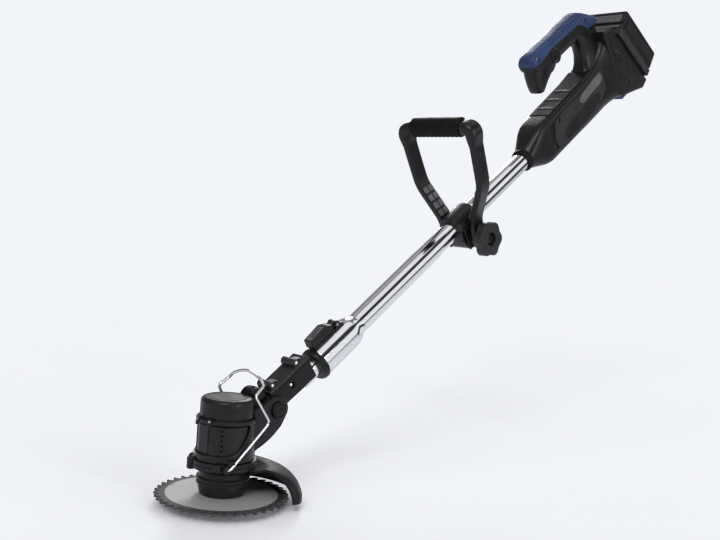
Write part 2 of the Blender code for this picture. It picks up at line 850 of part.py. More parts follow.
def build_shaft(body):
    inner_socket = SOCKET_RADIUS - SOCKET_WALL
    inner = OUTER_RADIUS - OUTER_WALL
    start = FLANGE_START + FLANGE_LENGTH
    profile = [
        (inner_socket, start),
        (SOCKET_RADIUS, start),
        (SOCKET_RADIUS, SOCKET_END),
        (OUTER_RADIUS, TAPER_END),
        (OUTER_RADIUS, OUTER_TUBE_END),
        (inner, OUTER_TUBE_END),
        (inner, TAPER_END),
        (inner_socket, SOCKET_END),
    ]
    tube = lathe("outer_tube", profile, ALONG_X, steps=28)
    finish(tube, body, chrome("outer_tube_chrome"), smooth=True)

    bore = INNER_RADIUS + GAP
    sleeve = inner_socket - GAP
    bush_end = start + BUSH_DEPTH
    bush = lathe(
        "socket_bush",
        [
            (bore, FLANGE_START),
            (FLANGE_RADIUS - 2.5, FLANGE_START),
            (FLANGE_RADIUS, FLANGE_START + 3),
            (FLANGE_RADIUS, start - GAP),
            (sleeve, start - GAP),
            (sleeve, bush_end),
            (bore, bush_end),
        ],
        ALONG_X,
        steps=28,
    )
    finish(bush, body, black_plastic("bush_black"), smooth=True)


def build_lever(shaft_body, lever_body):
    half = LEVER_HALF_WIDTH
    seat = SOCKET_RADIUS + GAP
    pivot_x, pivot_z = LEVER_PIVOT
    centre = (pivot_x, 0, pivot_z)
    tongue = LEVER_TONGUE + GAP
    saddle = side_plate(
        "lever_saddle",
        [
            (LEVER_START + 2, 10),
            (146, 10),
            (146, 21),
            (pivot_x + 6, SADDLE_TOP - 2),
            (pivot_x - 6, SADDLE_TOP - 3),
            (LEVER_START + 2, SADDLE_TOP - 3),
        ],
        -half,
        half,
    )
    join(saddle, rod("ears", LEVER_EAR, -half, half, ALONG_Y, centre, 20))
    cut(saddle, rod("socket_space", seat, 60, 180, ALONG_X, steps=28))
    cut(saddle, rod("tail_space", LEVER_EAR + 1.2, -tongue, tongue, ALONG_Y, centre, 20))
    cut(saddle, rod("pin_hole", LEVER_PIN_RADIUS + GAP, -half - 2, half + 2, ALONG_Y, centre, 12))
    finish(saddle, shaft_body, black_plastic("saddle_black"))

    pin = rod("lever_pin", LEVER_PIN_RADIUS, -half + 0.2, half - 0.2, ALONG_Y, centre, 12)
    finish(pin, shaft_body, steel("lever_pin_steel"), smooth=True)

    front_low = SADDLE_TOP - 3 + GAP + 0.2
    outline = [
        (LEVER_START, front_low), (128.5, front_low), (128.5, 30.0), (117.0, 35.5), (LEVER_START, 33.0)
    ]
    lever = side_plate("lock_lever", outline, -half, half)
    round_edges(lever, 1.2, 1)
    tail = side_plate(
        "tail",
        [
            (124, 24.0),
            (pivot_x, pivot_z - LEVER_EAR + 0.6),
            (pivot_x, pivot_z + LEVER_EAR - 0.6),
            (124, 30.5),
        ],
        -LEVER_TONGUE,
        LEVER_TONGUE,
    )
    join(lever, tail, rod("tail_eye", LEVER_EAR - 0.6, -LEVER_TONGUE, LEVER_TONGUE, ALONG_Y, centre, 20))
    cut(lever, rod("pin_hole", LEVER_PIN_RADIUS + GAP, -half - 2, half + 2, ALONG_Y, centre, 12))
    finish(lever, lever_body, grey_plastic("lever_grey"))


# ---------------------------------------------------------------- loop handle


def loop_point(side, across, up):
    """A place in the shaft frame from the loop's own: across the shaft, and up from its bolt."""
    lean = math.radians(LOOP_LEAN - SHAFT_ANGLE)
    return (BOLT_STATION - up * math.sin(lean), side * across, -BOLT_DROP + up * math.cos(lean))


def loop_normal():
    lean = math.radians(LOOP_LEAN - SHAFT_ANGLE)
    return Vector((math.cos(lean), 0, math.sin(lean)))


def strap(name, side, stations):
    """A flat bar through (across, up) stations of the loop's plane."""
    normal = loop_normal()
    points = []
    count = len(stations)
    for i, (across, up) in enumerate(stations):
        before = Vector(stations[max(0, i - 1)])
        after = Vector(stations[min(count - 1, i + 1)])
        here = Vector((across, up))
        first = (here - before).normalized() if i else (after - here).normalized()
        second = (after - here).normalized() if i < count - 1 else first
        along = (first + second).normalized()
        sideways = Vector((along.y, -along.x)) / max(0.5, along.dot(first))
        for wide, thick in ((-0.5, -0.5), (0.5, -0.5), (0.5, 0.5), (-0.5, 0.5)):
            place = here + sideways * thick * STRAP_THICKNESS
            points.append(Vector(loop_point(side, place.x, place.y)) + normal * wide * STRAP_WIDTH)
    faces = [(0, 1, 2, 3), tuple(range(4 * count - 1, 4 * count - 5, -1))]
    for i in range(count - 1):
        for edge in range(4):
            after = (edge + 1) % 4
            faces.append((4 * i + edge, 4 * i + after, 4 * i + 4 + after, 4 * i + 4 + edge))
    return make_object(name, points, faces)


def arm_half():
    """Middle of a loop arm's foot, beside the clamp's cheek and its toothed washer."""
    return CLAMP_CHEEK_OUTER + TOOTH_WASHER + 2 * GAP + STRAP_THICKNESS / 2


def build_clamp(body):
    end = CLAMP_START + CLAMP_LENGTH
    bore = OUTER_RADIUS + GAP
    centre = (BOLT_STATION, 0, -BOLT_DROP)
    upper = rod("clamp_upper", CLAMP_RADIUS, CLAMP_START, end, ALONG_X, steps=36)
    cheek_low, cheek_high = -BOLT_DROP - 10, 6
    for side in (-1, 1):
        first, second = sorted((side * CLAMP_CHEEK_INNER, side * CLAMP_CHEEK_OUTER))
        cheek = box("cheek", (CLAMP_START + 6, first, cheek_low), (end - 3, second, cheek_high))
        round_edges(cheek, 1.0, 1)
        join(upper, cheek)
    cut(upper, rod("tube_space", bore, CLAMP_START - 5, end + 5, ALONG_X, steps=36))
    cut(
        upper,
        box("lower_space", (CLAMP_START - 5, -CLAMP_CHEEK_INNER, -60), (end + 5, CLAMP_CHEEK_INNER, 0)),
    )
    for side in (-1, 1):
        first, second = sorted((side * (CLAMP_CHEEK_INNER - 1), side * 40))
        cut(upper, box("front_trim", (CLAMP_START - 5, first, -60), (CLAMP_START + 6, second, 0)))
        cut(upper, box("rear_trim", (end - 3, first, -60), (end + 5, second, 0)))
    cut(upper, rod("bolt_hole", BOLT_RADIUS + GAP, -40, 40, ALONG_Y, centre, 16))
    finish(upper, body, black_plastic("clamp_upper_black"), smooth=True)

    half = CLAMP_CHEEK_INNER - GAP
    outline = [
        (CLAMP_START + 2, -GAP),
        (CLAMP_START + 2, -18),
        (CLAMP_START + 10, CLAMP_FOOT),
        (end - 12, CLAMP_FOOT),
        (end - 2, -22),
        (end - 2, -GAP),
    ]
    lower = side_plate("clamp_lower", outline, -half, half)
    round_edges(lower, 1.5, 1)
    cut(lower, rod("tube_space", bore, CLAMP_START - 5, end + 5, ALONG_X, steps=28))
    cut(lower, rod("bolt_hole", BOLT_RADIUS + GAP, -40, 40, ALONG_Y, centre, 16))
    finish(lower, body, black_plastic("clamp_lower_black"))

    for name, side in (("tooth_washer_left", -1), ("tooth_washer_right", 1)):
        first, second = sorted((side * (CLAMP_CHEEK_OUTER + GAP), side * (CLAMP_CHEEK_OUTER + TOOTH_WASHER)))
        washer = ring(name, BOLT_RADIUS + GAP, TOOTH_WASHER_RADIUS, first, second, ALONG_Y, centre, 28)
        finish(washer, body, black_plastic(name + "_black"))

    foot = arm_half() + STRAP_THICKNESS / 2
    bolt = rod("clamp_bolt", BOLT_RADIUS, -foot - KNOB_LENGTH + 2, foot + GAP + 4, ALONG_Y, centre, 16)
    join(bolt, rod("bolt_head", BOLT_RADIUS * 2, foot + GAP, foot + GAP + 4, ALONG_Y, centre, 6))
    finish(bolt, body, steel("clamp_bolt_steel"))


def build_loop(body):
    foot = arm_half()
    hub_radius = STRAP_WIDTH / 2 + 1.5
    hub_half = STRAP_THICKNESS / 2 - 0.5
    stations = [
        (foot, 0),
        (foot, KNOB_RADIUS + 3),
        (LOOP_SHOULDER_HALF, LOOP_SHOULDER),
        (LOOP_HALF_WIDTH, LOOP_HEIGHT - GRIP_RADIUS - 4),
        (LOOP_HALF_WIDTH, LOOP_HEIGHT + GRIP_RADIUS - 3),
    ]
    centre = loop_point(1, 0, 0)
    top = loop_point(1, 0, LOOP_HEIGHT)
    lean = Matrix.Rotation(math.radians(LOOP_LEAN - SHAFT_ANGLE), 4, "Y")
    loop = rod("loop_handle", GRIP_CORE, -LOOP_HALF_WIDTH - 2, LOOP_HALF_WIDTH + 2, ALONG_Y, top, 20)
    for side in (-1, 1):
        arm = strap("strap", side, stations)
        first, second = sorted((side * (foot - hub_half), side * (foot + hub_half)))
        round_edges(arm, 1.6, 1, 50)
        join(arm, rod("hub", hub_radius, first, second, ALONG_Y, centre, 24))
        first, second = sorted((side * (foot - 12), side * (foot + 12)))
        cut(arm, rod("bolt_hole", BOLT_RADIUS + GAP, first, second, ALONG_Y, centre, 20))
        join(loop, arm)
        first, second = sorted((side * (GRIP_HALF_LENGTH + GAP), side * (LOOP_HALF_WIDTH + 3)))
        knee = turned(
            "knee",
            [
                (0, first),
                (GRIP_RADIUS - 1.5 if side < 0 else GRIP_RADIUS, first),
                (GRIP_RADIUS if side < 0 else GRIP_RADIUS - 1.5, second),
                (0, second),
            ],
            lean @ ALONG_Y,
            top,
            24,
        )
        join(loop, knee)
    finish(loop, body, black_plastic("loop_black"), smooth=True)

    pitch = 2 * GRIP_HALF_LENGTH / (GRIP_RIBS * 2)
    profile = []
    for rib in range(GRIP_RIBS):
        low = -GRIP_HALF_LENGTH + 2 * rib * pitch
        profile.append((GRIP_RADIUS - 0.9, low))
        profile.append((GRIP_RADIUS, low + 0.6 * pitch))
        profile.append((GRIP_RADIUS, low + 1.4 * pitch))
    profile.append((GRIP_RADIUS - 0.9, GRIP_HALF_LENGTH))
    profile += [(GRIP_CORE + GAP, GRIP_HALF_LENGTH), (GRIP_CORE + GAP, -GRIP_HALF_LENGTH)]
    sleeve = lathe("grip_sleeve", profile, ALONG_Y, top, 12)
    finish(sleeve, body, rubber("grip_rubber"), smooth=True)


def build_knob(body):
    face = -(arm_half() + STRAP_THICKNESS / 2 + GAP)
    outline = []
    steps = KNOB_LOBES * 6
    for step in range(steps):
        angle = 2 * math.pi * step / steps
        radius = KNOB_RADIUS - 3.0 * (0.5 - 0.5 * math.cos(KNOB_LOBES * angle)) ** 1.5
        outline.append((BOLT_STATION + radius * math.sin(angle), -BOLT_DROP + radius * math.cos(angle)))
    knob = side_plate("clamp_knob", outline, face - KNOB_LENGTH - 2, face - 3)
    round_edges(knob, 1.0, 1)
    centre = (BOLT_STATION, 0, -BOLT_DROP)
    join(knob, rod("collar", 9, face - 6, face, ALONG_Y, centre, 24))
    cut(knob, rod("well", KNOB_WELL, face - KNOB_LENGTH - 10, face - KNOB_LENGTH + 7, ALONG_Y, centre, 24))
    cut(knob, rod("bolt_hole", BOLT_RADIUS + GAP, face - 40, face + 5, ALONG_Y, centre, 16))
    finish(knob, body, grey_plastic("knob_grey"))


# ---------------------------------------------------------------- rear housing


def body_outline():
    return [
        (600, BODY_LOW),
        (854, BODY_LOW),
        (868, -20),
        (848, 40),
        (824, 88),
        (800, 62),
        (785, 48),
        (735, 42),
        (640, 38),
        (612, 30),
        (592, 18),
        (592, -20),
    ]


def dock_body_outline():
    return [
        (823, -27),
        (868, -38),
        (896, -46),
        dock_point(PACK_LENGTH + 10, -GAP),
        dock_point(-18, -GAP),
        (811, 92),
        (816, 40),
    ]


def hook_outline():
    """The grip: column, beam and drooping front, under the coloured cover."""
    return [
        (775, 40),
        (830, 40),
        (834, 80),
        (832, 101),
        (823, 102.5),
        (804.5, 100.5),
        (791, 113.5),
        (779, 122.5),
        (696, 121.5),
        (676, 119),
        (645, 116.5),
        (641, 86),
        (646, 76),
        (656, 74),
        (662, 86),
        (667, 93),
        (716, 96),
        (724, 100),
        (762, 100),
        (770, 95),
        (773, 84),
        (769, 62),
    ]


def cover_outline():
    top = [(833, 112), (822, 127), (802, 135), (662, 132), (651, 129), (645, 122)]
    under = [
        (645, 116.8),
        (676, 119.3),
        (696, 121.8),
        (779, 122.8),
        (791, 113.9),
        (804.5, 100.9),
        (823, 102.9),
        (832, 101.4),
    ]
    return under + top


def nose_cone():
    """The housing's tapered front, which grips the tube's end."""
    rings = ((NOSE_START, 0.0, 17.5, 17.5), (606, 2.0, 28.0, 22.5), (622, 4.0, 33.0, BODY_HALF_WIDTH))
    steps = 32
    points = []
    for station, rise, tall, wide in rings:
        for step in range(steps):
            angle = 2 * math.pi * step / steps
            flat = 1 / (abs(math.cos(angle)) ** 4 + abs(math.sin(angle)) ** 4) ** 0.25
            blend = (station - NOSE_START) / (622 - NOSE_START)
            scale = 1 + (flat - 1) * blend
            y = wide * math.cos(angle) * min(scale, wide / max(1e-6, abs(wide * math.cos(angle))))
            z = rise + tall * math.sin(angle) * min(scale, 1 / max(1e-6, abs(math.sin(angle))))
            points.append((station, y, z))
    count = len(rings)
    faces = [tuple(range(steps)), tuple(range(count * steps - 1, (count - 1) * steps - 1, -1))]
    for i in range(count - 1):
        for step in range(steps):
            after = (step + 1) % steps
            faces.append(
                (i * steps + step, i * steps + after, (i + 1) * steps + after, (i + 1) * steps + step)
            )
    return make_object("nose_cone", points, faces)


def housing_solid(name):
    solid = side_plate(name, body_outline(), -BODY_HALF_WIDTH, BODY_HALF_WIDTH)
    round_edges(solid, 8.0, 3, 60)
    join(solid, nose_cone())
    dock = side_plate("dock", dock_body_outline(), -DOCK_HALF_WIDTH, DOCK_HALF_WIDTH)
    round_edges(dock, 4.0, 2, 60)
    join(solid, dock)
    hook = side_plate("hook", hook_outline(), -GRIP_HALF_WIDTH, GRIP_HALF_WIDTH)
    round_edges(hook, 3.0, 2, 60)
    join(solid, hook)
    return solid


def hollow_solid():
    wall = SHELL_WALL
    hollow = side_plate(
        "hollow", inset(body_outline(), wall), -BODY_HALF_WIDTH + wall, BODY_HALF_WIDTH - wall
    )
    round_edges(hollow, 5.0, 2, 60)
    dock = side_plate(
        "dock_hollow", inset(dock_body_outline(), wall), -DOCK_HALF_WIDTH + wall, DOCK_HALF_WIDTH - wall
    )
    join(hollow, dock)
    hook = side_plate(
        "hook_hollow", inset(hook_outline(), wall), -GRIP_HALF_WIDTH + wall, GRIP_HALF_WIDTH - wall
    )
    join(hollow, hook)
    return hollow


def build_housing(body):
    trigger_slot_half = TRIGGER_HALF_WIDTH + 0.6
    for name, side in (("housing_left", -1), ("housing_right", 1)):
        shell = housing_solid(name)
        cut(shell, hollow_solid())
        cut(
            shell,
            rod("tube_bore", OUTER_RADIUS + GAP, NOSE_START - 5, OUTER_TUBE_END + GAP, ALONG_X, steps=28),
        )
        cut(shell, box("trigger_slot", (661, -trigger_slot_half, 70), (717.5, trigger_slot_half, 100)))
        button = (SIDE_BUTTON[0], 0, SIDE_BUTTON[1])
        cut(shell, box("latch_slot", (862 - 0.6, -9.6, -60), (880 + 0.6, 9.6, -30)))
        if side < 0:
            cut(shell, rod("button_hole", SIDE_BUTTON_RADIUS + 0.5, -30, 0, ALONG_Y, button, 24))
            for station, height in HOUSING_SCREWS:
                centre = (station, 0, height)
                cut(
                    shell,
                    rod("screw_hole", SCREW_RADIUS + GAP, -50, -BODY_HALF_WIDTH + 8, ALONG_Y, centre, 14),
                )
        cut(shell, box("terminal_hole", (852, -12.6, 0), (900, 12.6, 40)))
        first, second = sorted((side * HALF_GAP, side * 100))
        keep(shell, box("half", (500, first, -100), (1000, second, 200)))
        finish(shell, body, black_plastic(name + "_black"), smooth=True)

    collar = lathe(
        "tube_collar",
        [
            (OUTER_RADIUS + GAP, NOSE_START - COLLAR_LENGTH - GAP),
            (COLLAR_RADIUS - 1.5, NOSE_START - COLLAR_LENGTH - GAP),
            (COLLAR_RADIUS, NOSE_START - COLLAR_LENGTH + 1.5),
            (COLLAR_RADIUS, NOSE_START - GAP),
            (OUTER_RADIUS + GAP, NOSE_START - GAP),
        ],
        ALONG_X,
        steps=28,
    )
    finish(collar, body, rubber("collar_rubber"), smooth=True)


def build_cover(body):
    cover = side_plate("grip_cover", cover_outline(), -GRIP_HALF_WIDTH, GRIP_HALF_WIDTH)
    round_edges(cover, 5.0, 3, 60)
    wall = SHELL_WALL
    hollow = side_plate(
        "cover_hollow",
        [
            (655, 100),
            (700, 100),
            (775, 100),
            (792, 96),
            (824, 96),
            (824, 112),
            (815, 122),
            (800, 131),
            (666, 128),
            (655, 125),
        ],
        -GRIP_HALF_WIDTH + wall,
        GRIP_HALF_WIDTH - wall,
    )
    cut(cover, hollow)
    for station, height in COVER_SCREWS:
        centre = (station, 0, height)
        cut(cover, rod("screw_hole", SCREW_RADIUS + GAP, -40, -5, ALONG_Y, centre, 14))
    finish(cover, body, blue_plastic("cover_blue"), smooth=True)


def build_screws(body):
    places = [
        (place, BODY_HALF_WIDTH) for place in HOUSING_SCREWS
    ] + [(place, GRIP_HALF_WIDTH) for place in COVER_SCREWS]
    for index, ((station, height), half) in enumerate(places, 1):
        if station > 840:
            half = DOCK_HALF_WIDTH
        screw = rod(
            f"housing_screw_{index}",
            SCREW_RADIUS,
            -half + 1.2,
            -half + 1.2 + SCREW_LENGTH,
            ALONG_Y,
            (station, 0, height),
            12,
        )
        finish(screw, body, steel(f"housing_screw_{index}_steel"), smooth=True)


def build_trims(body):
    outline = [
        (636, -14), (640, 16), (668, 27), (722, 29), (790, 36), (800, 22), (800, 2), (735, -6), (690, -18)
    ]
    for name, side in (("side_trim_left", -1), ("side_trim_right", 1)):
        first, second = sorted(
            (side * (BODY_HALF_WIDTH + GAP), side * (BODY_HALF_WIDTH + GAP + TRIM_THICKNESS))
        )
        trim = side_plate(name, outline, first, second)
        finish(trim, body, grey_plastic(name + "_grey"))


def build_switch(body):
    switch = box("power_switch", (724.5, -7, 104.5), (752, 7, 117))
    finish(switch, body, grey_plastic("switch_grey"))
    block = side_plate("terminal_block", dock_outline(44, 62, -2.5, 7), -12, 12)
    finish(block, body, copper("terminal_copper"))


def build_trigger(body):
    outline = [
        (665, 96),
        (664, 87),
        (668, 83),
        (700, 83.5),
        (709, 88),
        (715, 94),
        (716, 103),
        (704, 104.5),
        (672, 104),
        (666, 101),
    ]
    trigger = side_plate("trigger", outline, -TRIGGER_HALF_WIDTH, TRIGGER_HALF_WIDTH)
    round_edges(trigger, 1.2, 1)
    finish(trigger, body, grey_plastic("trigger_grey"))


def build_side_button(body):
    face = -GRIP_HALF_WIDTH - 3.0
    profile = [
        (0, face),
        (SIDE_BUTTON_RADIUS - 2.5, face),
        (SIDE_BUTTON_RADIUS, face + 1.8),
        (SIDE_BUTTON_RADIUS, face + 8.5),
        (0, face + 8.5),
    ]
    button = turned("lock_off_button", profile, ALONG_Y, (SIDE_BUTTON[0], 0, SIDE_BUTTON[1]), 24)
    finish(button, body, grey_plastic("lock_off_grey"), smooth=True)


def build_latch(body):
    latch = box("release_button", (862, -9, -50), (880, 9, -34))
    round_edges(latch, 2.0, 2)
    finish(latch, body, blue_plastic("release_blue"))


def build_battery(body):
    half = PACK_HALF_WIDTH
    base = side_plate("battery_base", dock_outline(0, PACK_LENGTH, GAP, PACK_BASE), -half, half)
    round_edges(base, 2.0, 1)
    cut(base, side_plate("channel", dock_outline(-20, 66, -5, 9), -13, 13))
    finish(base, body, black_plastic("battery_base_black"))

    case = side_plate("battery_case", dock_outline(0, PACK_LENGTH, PACK_BASE + GAP, PACK_DEPTH), -half, half)
    round_edges(case, 4.0, 2)
    wall = PACK_WALL
    hollow = side_plate(
        "hollow",
        dock_outline(2 * wall, PACK_LENGTH - 2 * wall, PACK_BASE - 5, PACK_DEPTH - wall),
        -half + wall,
        half - wall,
    )
    cut(case, hollow)
    finish(case, body, black_plastic("battery_case_black"), smooth=True)

    pitch = 2 * CELL_RADIUS + GAP
    first = PACK_LENGTH / 2 - pitch * (CELLS - 1) / 2
    for cell in range(CELLS):
        station, height = dock_point(first + pitch * cell, PACK_BASE + GAP + CELL_RADIUS + 1)
        solid = rod(
            f"battery_cell_{cell + 1}",
            CELL_RADIUS,
            -CELL_LENGTH / 2,
            CELL_LENGTH / 2,
            ALONG_Y,
            (station, 0, height),
            12,
        )
        finish(solid, body, cell_wrap(f"cell_{cell + 1}_wrap"), smooth=True)


# ---------------------------------------------------------------- assembly


def main():
    clear_scene()
    world = make_empty("frame_world", (0, 0, 0))
    hinge = Vector((HINGE_X, 0, HINGE_Z))
    rise = math.radians(SHAFT_ANGLE)
    foot = hinge - Vector((-math.sin(rise), 0, math.cos(rise))) * HINGE_RISE
    shaft = make_empty("frame_shaft", foot, None, SHAFT_ANGLE)

    head = make_empty("axis_head_tilt", hinge, world)
    rotor = make_empty("axis_blade_spin", (0, 0, BLADE_TOP_Z), world)
    bail = make_empty("axis_bail_swing", (BAIL_PIVOT_X, 0, BLADE_TOP_Z + BAIL_PIVOT_HEIGHT), world)
    tilt_button = make_empty("axis_tilt_button", (HINGE_X, -CHEEK_HALF_WIDTH, HINGE_Z), world)
    arm = make_empty("axis_shaft_slide", (FLANGE_START, 0, 0), shaft)
    rear = make_empty("axis_root", (OUTER_TUBE_END, 0, 0), shaft)
    lever = make_empty("axis_lock_lever", (LEVER_PIVOT[0], 0, LEVER_PIVOT[1]), shaft)
    clamp = make_empty("axis_clamp_slide", (BOLT_STATION, 0, 0), shaft)
    loop = make_empty("axis_loop_tilt", (BOLT_STATION, 0, -BOLT_DROP), shaft)
    knob = make_empty("axis_knob_turn", (BOLT_STATION, 0, -BOLT_DROP), shaft)
    trigger = make_empty("axis_trigger", (TRIGGER_PIVOT[0], 0, TRIGGER_PIVOT[1]), shaft)
    side_button = make_empty("axis_lock_off", (SIDE_BUTTON[0], -GRIP_HALF_WIDTH, SIDE_BUTTON[1]), shaft)
    latch = make_empty("axis_release", (871, 0, -46), shaft)
    pack_place = dock_point(PACK_LENGTH / 2, 0)
    pack = make_empty("axis_battery_slide", (pack_place[0], 0, pack_place[1]), shaft)

    build_rotor(rotor)
    build_nose(head)
    build_motor(head)
    build_casing(head)
    build_cap(head)
    build_guard(head)
    build_bail(bail)
    build_tilt_button(tilt_button)
    build_arm(arm)
    build_hinge_bolt(arm)
    build_shaft(rear)
    build_lever(rear, lever)
    build_clamp(clamp)
    build_loop(loop)
    build_knob(knob)
    build_housing(rear)
    build_cover(rear)
    build_screws(rear)
    build_trims(rear)
    build_switch(rear)
    build_trigger(trigger)
    build_side_button(side_button)
    build_latch(latch)
    build_battery(pack)


main()
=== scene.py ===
"""Looks of the cordless grass trimmer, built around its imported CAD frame.

Shapes are made in millimetres, in the world frame or in the shaft's own frame: +X along the
shaft towards the rear handle, origin on the tube's axis beside the head's hinge.
"""

import math
from itertools import product

import bmesh
import bpy
from mathutils import Matrix, Vector


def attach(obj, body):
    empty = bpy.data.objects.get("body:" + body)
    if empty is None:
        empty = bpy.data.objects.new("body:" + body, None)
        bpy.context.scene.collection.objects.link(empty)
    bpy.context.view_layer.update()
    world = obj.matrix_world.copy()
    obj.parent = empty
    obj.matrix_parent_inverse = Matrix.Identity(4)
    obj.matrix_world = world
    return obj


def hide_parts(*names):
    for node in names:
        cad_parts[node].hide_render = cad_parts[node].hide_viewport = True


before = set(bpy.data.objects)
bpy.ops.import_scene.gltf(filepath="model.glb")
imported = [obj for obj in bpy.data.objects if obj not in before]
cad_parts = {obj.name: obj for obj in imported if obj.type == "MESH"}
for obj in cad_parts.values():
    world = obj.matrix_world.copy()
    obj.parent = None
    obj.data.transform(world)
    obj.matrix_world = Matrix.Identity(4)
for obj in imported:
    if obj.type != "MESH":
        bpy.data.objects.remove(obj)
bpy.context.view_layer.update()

MM = 0.001
FINE = 128
SIDES = (("left", -1), ("right", 1))

BLADE_TOP = 12.0
HINGE = Vector((56.0, 0.0, 105.0))
HINGE_AT = (HINGE.x, HINGE.z)
HINGE_RISE = 7.6
BAIL_PIVOT = (-20, BLADE_TOP + 36)
SHAFT_ANGLE = math.radians(35.5)
LOOP_LEAN = math.radians(28.0)
DOCK_LEAN = math.radians(29.0)

# Places in the shaft frame, as distance along it and height above its axis.
BOLT = (403.0, -24.0)
LEVER_PIVOT = (136, 25)
ARM_SCREW = (37, 12)
LOCK_OFF = (701, 108)
BODY_SCREWS = ((655, 24), (631, -8))
DOCK_SCREW = (852, -12)
COVER_SCREWS = ((655, 124), (796, 121))

# Radii of the holes that several pieces share.
BOLT_BORE = 3.3
TUBE_BORE = 13.8
HINGE_BORE = 4.3
PIN_BORE = 2.1
HOUSING_SCREW_HOLE = 3.3

FOOT = HINGE - Vector((-math.sin(SHAFT_ANGLE), 0, math.cos(SHAFT_ANGLE))) * HINGE_RISE
WORLD = Matrix.Identity(4)
SHAFT = Matrix.Translation(FOOT * MM) @ Matrix.Rotation(-SHAFT_ANGLE, 4, "Y")
ALONG_X = Matrix(((0, 0, 1, 0), (1, 0, 0, 0), (0, 1, 0, 0), (0, 0, 0, 1)))
ALONG_Y = Matrix(((0, 1, 0, 0), (0, 0, 1, 0), (1, 0, 0, 0), (0, 0, 0, 1)))
ALONG_Z = Matrix.Identity(4)


# ---------------------------------------------------------------- camera, light and floor


def make_camera():
    """The viewpoint: turned 46 degrees round the tool, a little above it and slightly rolled."""
    spot = Vector((-652, -816, 339)) * MM
    forward = Vector((0.719, 0.692, -0.063)).normalized()
    roll = math.radians(4.36)
    right = forward.cross(Vector((0, 0, 1))).normalized()
    up = right.cross(forward)
    turned_right = right * math.cos(roll) + up * math.sin(roll)
    turned_up = up * math.cos(roll) - right * math.sin(roll)
    data = bpy.data.cameras.new("camera")
    data.lens = 46.95
    data.sensor_width = 36
    camera = bpy.data.objects.new("camera", data)
    rotation = Matrix((turned_right, turned_up, -forward)).transposed().to_4x4()
    camera.matrix_world = Matrix.Translation(spot) @ rotation
    bpy.context.scene.collection.objects.link(camera)
    bpy.context.scene.camera = camera


def area_light(name, spot, target, size, power):
    data = bpy.data.lights.new(name, "AREA")
    data.shape = "RECTANGLE"
    data.size, data.size_y = size
    data.energy = power
    light = bpy.data.objects.new(name, data)
    aim = (Vector(target) - Vector(spot)).to_track_quat("-Z", "Y")
    light.matrix_world = Matrix.Translation(Vector(spot)) @ aim.to_matrix().to_4x4()
    bpy.context.scene.collection.objects.link(light)


def make_world():
    """A pale backdrop, and round the shaft's axis a studio of white panels with dark gaps."""
    world = bpy.data.worlds.new("studio")
    bpy.context.scene.world = world
    world.use_nodes = True
    tree = world.node_tree
    tree.nodes.clear()
    link = tree.links.new
    direction = add(tree, "TexCoord")
    angle = add(tree, "Math", operation="ARCTAN2")
    across = (Vector((-math.sin(SHAFT_ANGLE), 0, math.cos(SHAFT_ANGLE))), Vector((0, -1, 0)))
    for number, axis in enumerate(across):
        dot = add(tree, "VectorMath", operation="DOT_PRODUCT")
        link(direction.outputs["Generated"], dot.inputs[0])
        dot.inputs[1].default_value = axis
        link(dot.outputs["Value"], angle.inputs[number])
    share = add(tree, "MapRange", {"From Min": -math.pi, "From Max": math.pi})
    link(angle.outputs[0], share.inputs["Value"])
    ramp = add(tree, "ValToRGB")
    ramp.color_ramp.interpolation = "EASE"
    while len(ramp.color_ramp.elements) < len(STUDIO_BANDS):
        ramp.color_ramp.elements.new(1)
    for element, (position, level) in zip(ramp.color_ramp.elements, STUDIO_BANDS):
        element.position = position
        element.color = (level, level, level * 1.02, 1)
    link(share.outputs[0], ramp.inputs[0])
    studio = add(tree, "Background", {"Strength": STUDIO_STRENGTH})
    link(ramp.outputs[0], studio.inputs["Color"])
    backdrop = add(tree, "Background", {"Color": (0.888, 0.906, 0.947, 1)})
    choose = add(tree, "MixShader")
    link(add(tree, "LightPath").outputs["Is Camera Ray"], choose.inputs[0])
    link(studio.outputs[0], choose.inputs[1])
    link(backdrop.outputs[0], choose.inputs[2])
    link(choose.outputs[0], add(tree, "OutputWorld").inputs["Surface"])


# Position round the shaft (0 and 1 on the far side, 0.5 facing the viewer's side) and brightness.
STUDIO_BANDS = (
    (0.0, 0.55), (0.16, 0.5), (0.24, 0.9), (0.34, 0.95),
    (0.37, 0.05), (0.43, 0.03), (0.46, 1.0), (0.55, 1.0),
    (0.58, 0.03), (0.64, 0.04), (0.67, 1.0), (0.76, 0.95),
    (0.8, 0.3), (0.88, 0.5), (0.95, 0.1), (1.0, 0.55),
)
STUDIO_STRENGTH = 0.9


def make_floor():
    data = bpy.data.meshes.new("floor")
    half = 6.0
    corners = [(-half, -half, 0), (half, -half, 0), (half, half, 0), (-half, half, 0)]
    data.from_pydata(corners, [], [(0, 1, 2, 3)])
    floor = bpy.data.objects.new("floor", data)
    floor.location.z = -0.0005
    bpy.context.scene.collection.objects.link(floor)
    floor.is_shadow_catcher = True
    look, shader, _tree = new_look("floor_pale")
    shader.inputs["Base Color"].default_value = (0.86, 0.88, 0.92, 1)
    shader.inputs["Roughness"].default_value = 0.8
    floor.data.materials.append(look)


# ---------------------------------------------------------------- materials


def new_look(name):
    look = bpy.data.materials.new(name)
    look.use_nodes = True
    shader = look.node_tree.nodes["Principled BSDF"]
    return look, shader, look.node_tree


def add(tree, kind, inputs=None, **settings):
    """A new shader node with its settings and the fixed values of its inputs."""
    made = tree.nodes.new("ShaderNode" + kind)
    for key, value in settings.items():
        setattr(made, key, value)
    for key, value in (inputs or {}).items():
        made.inputs[key].default_value = value
    return made


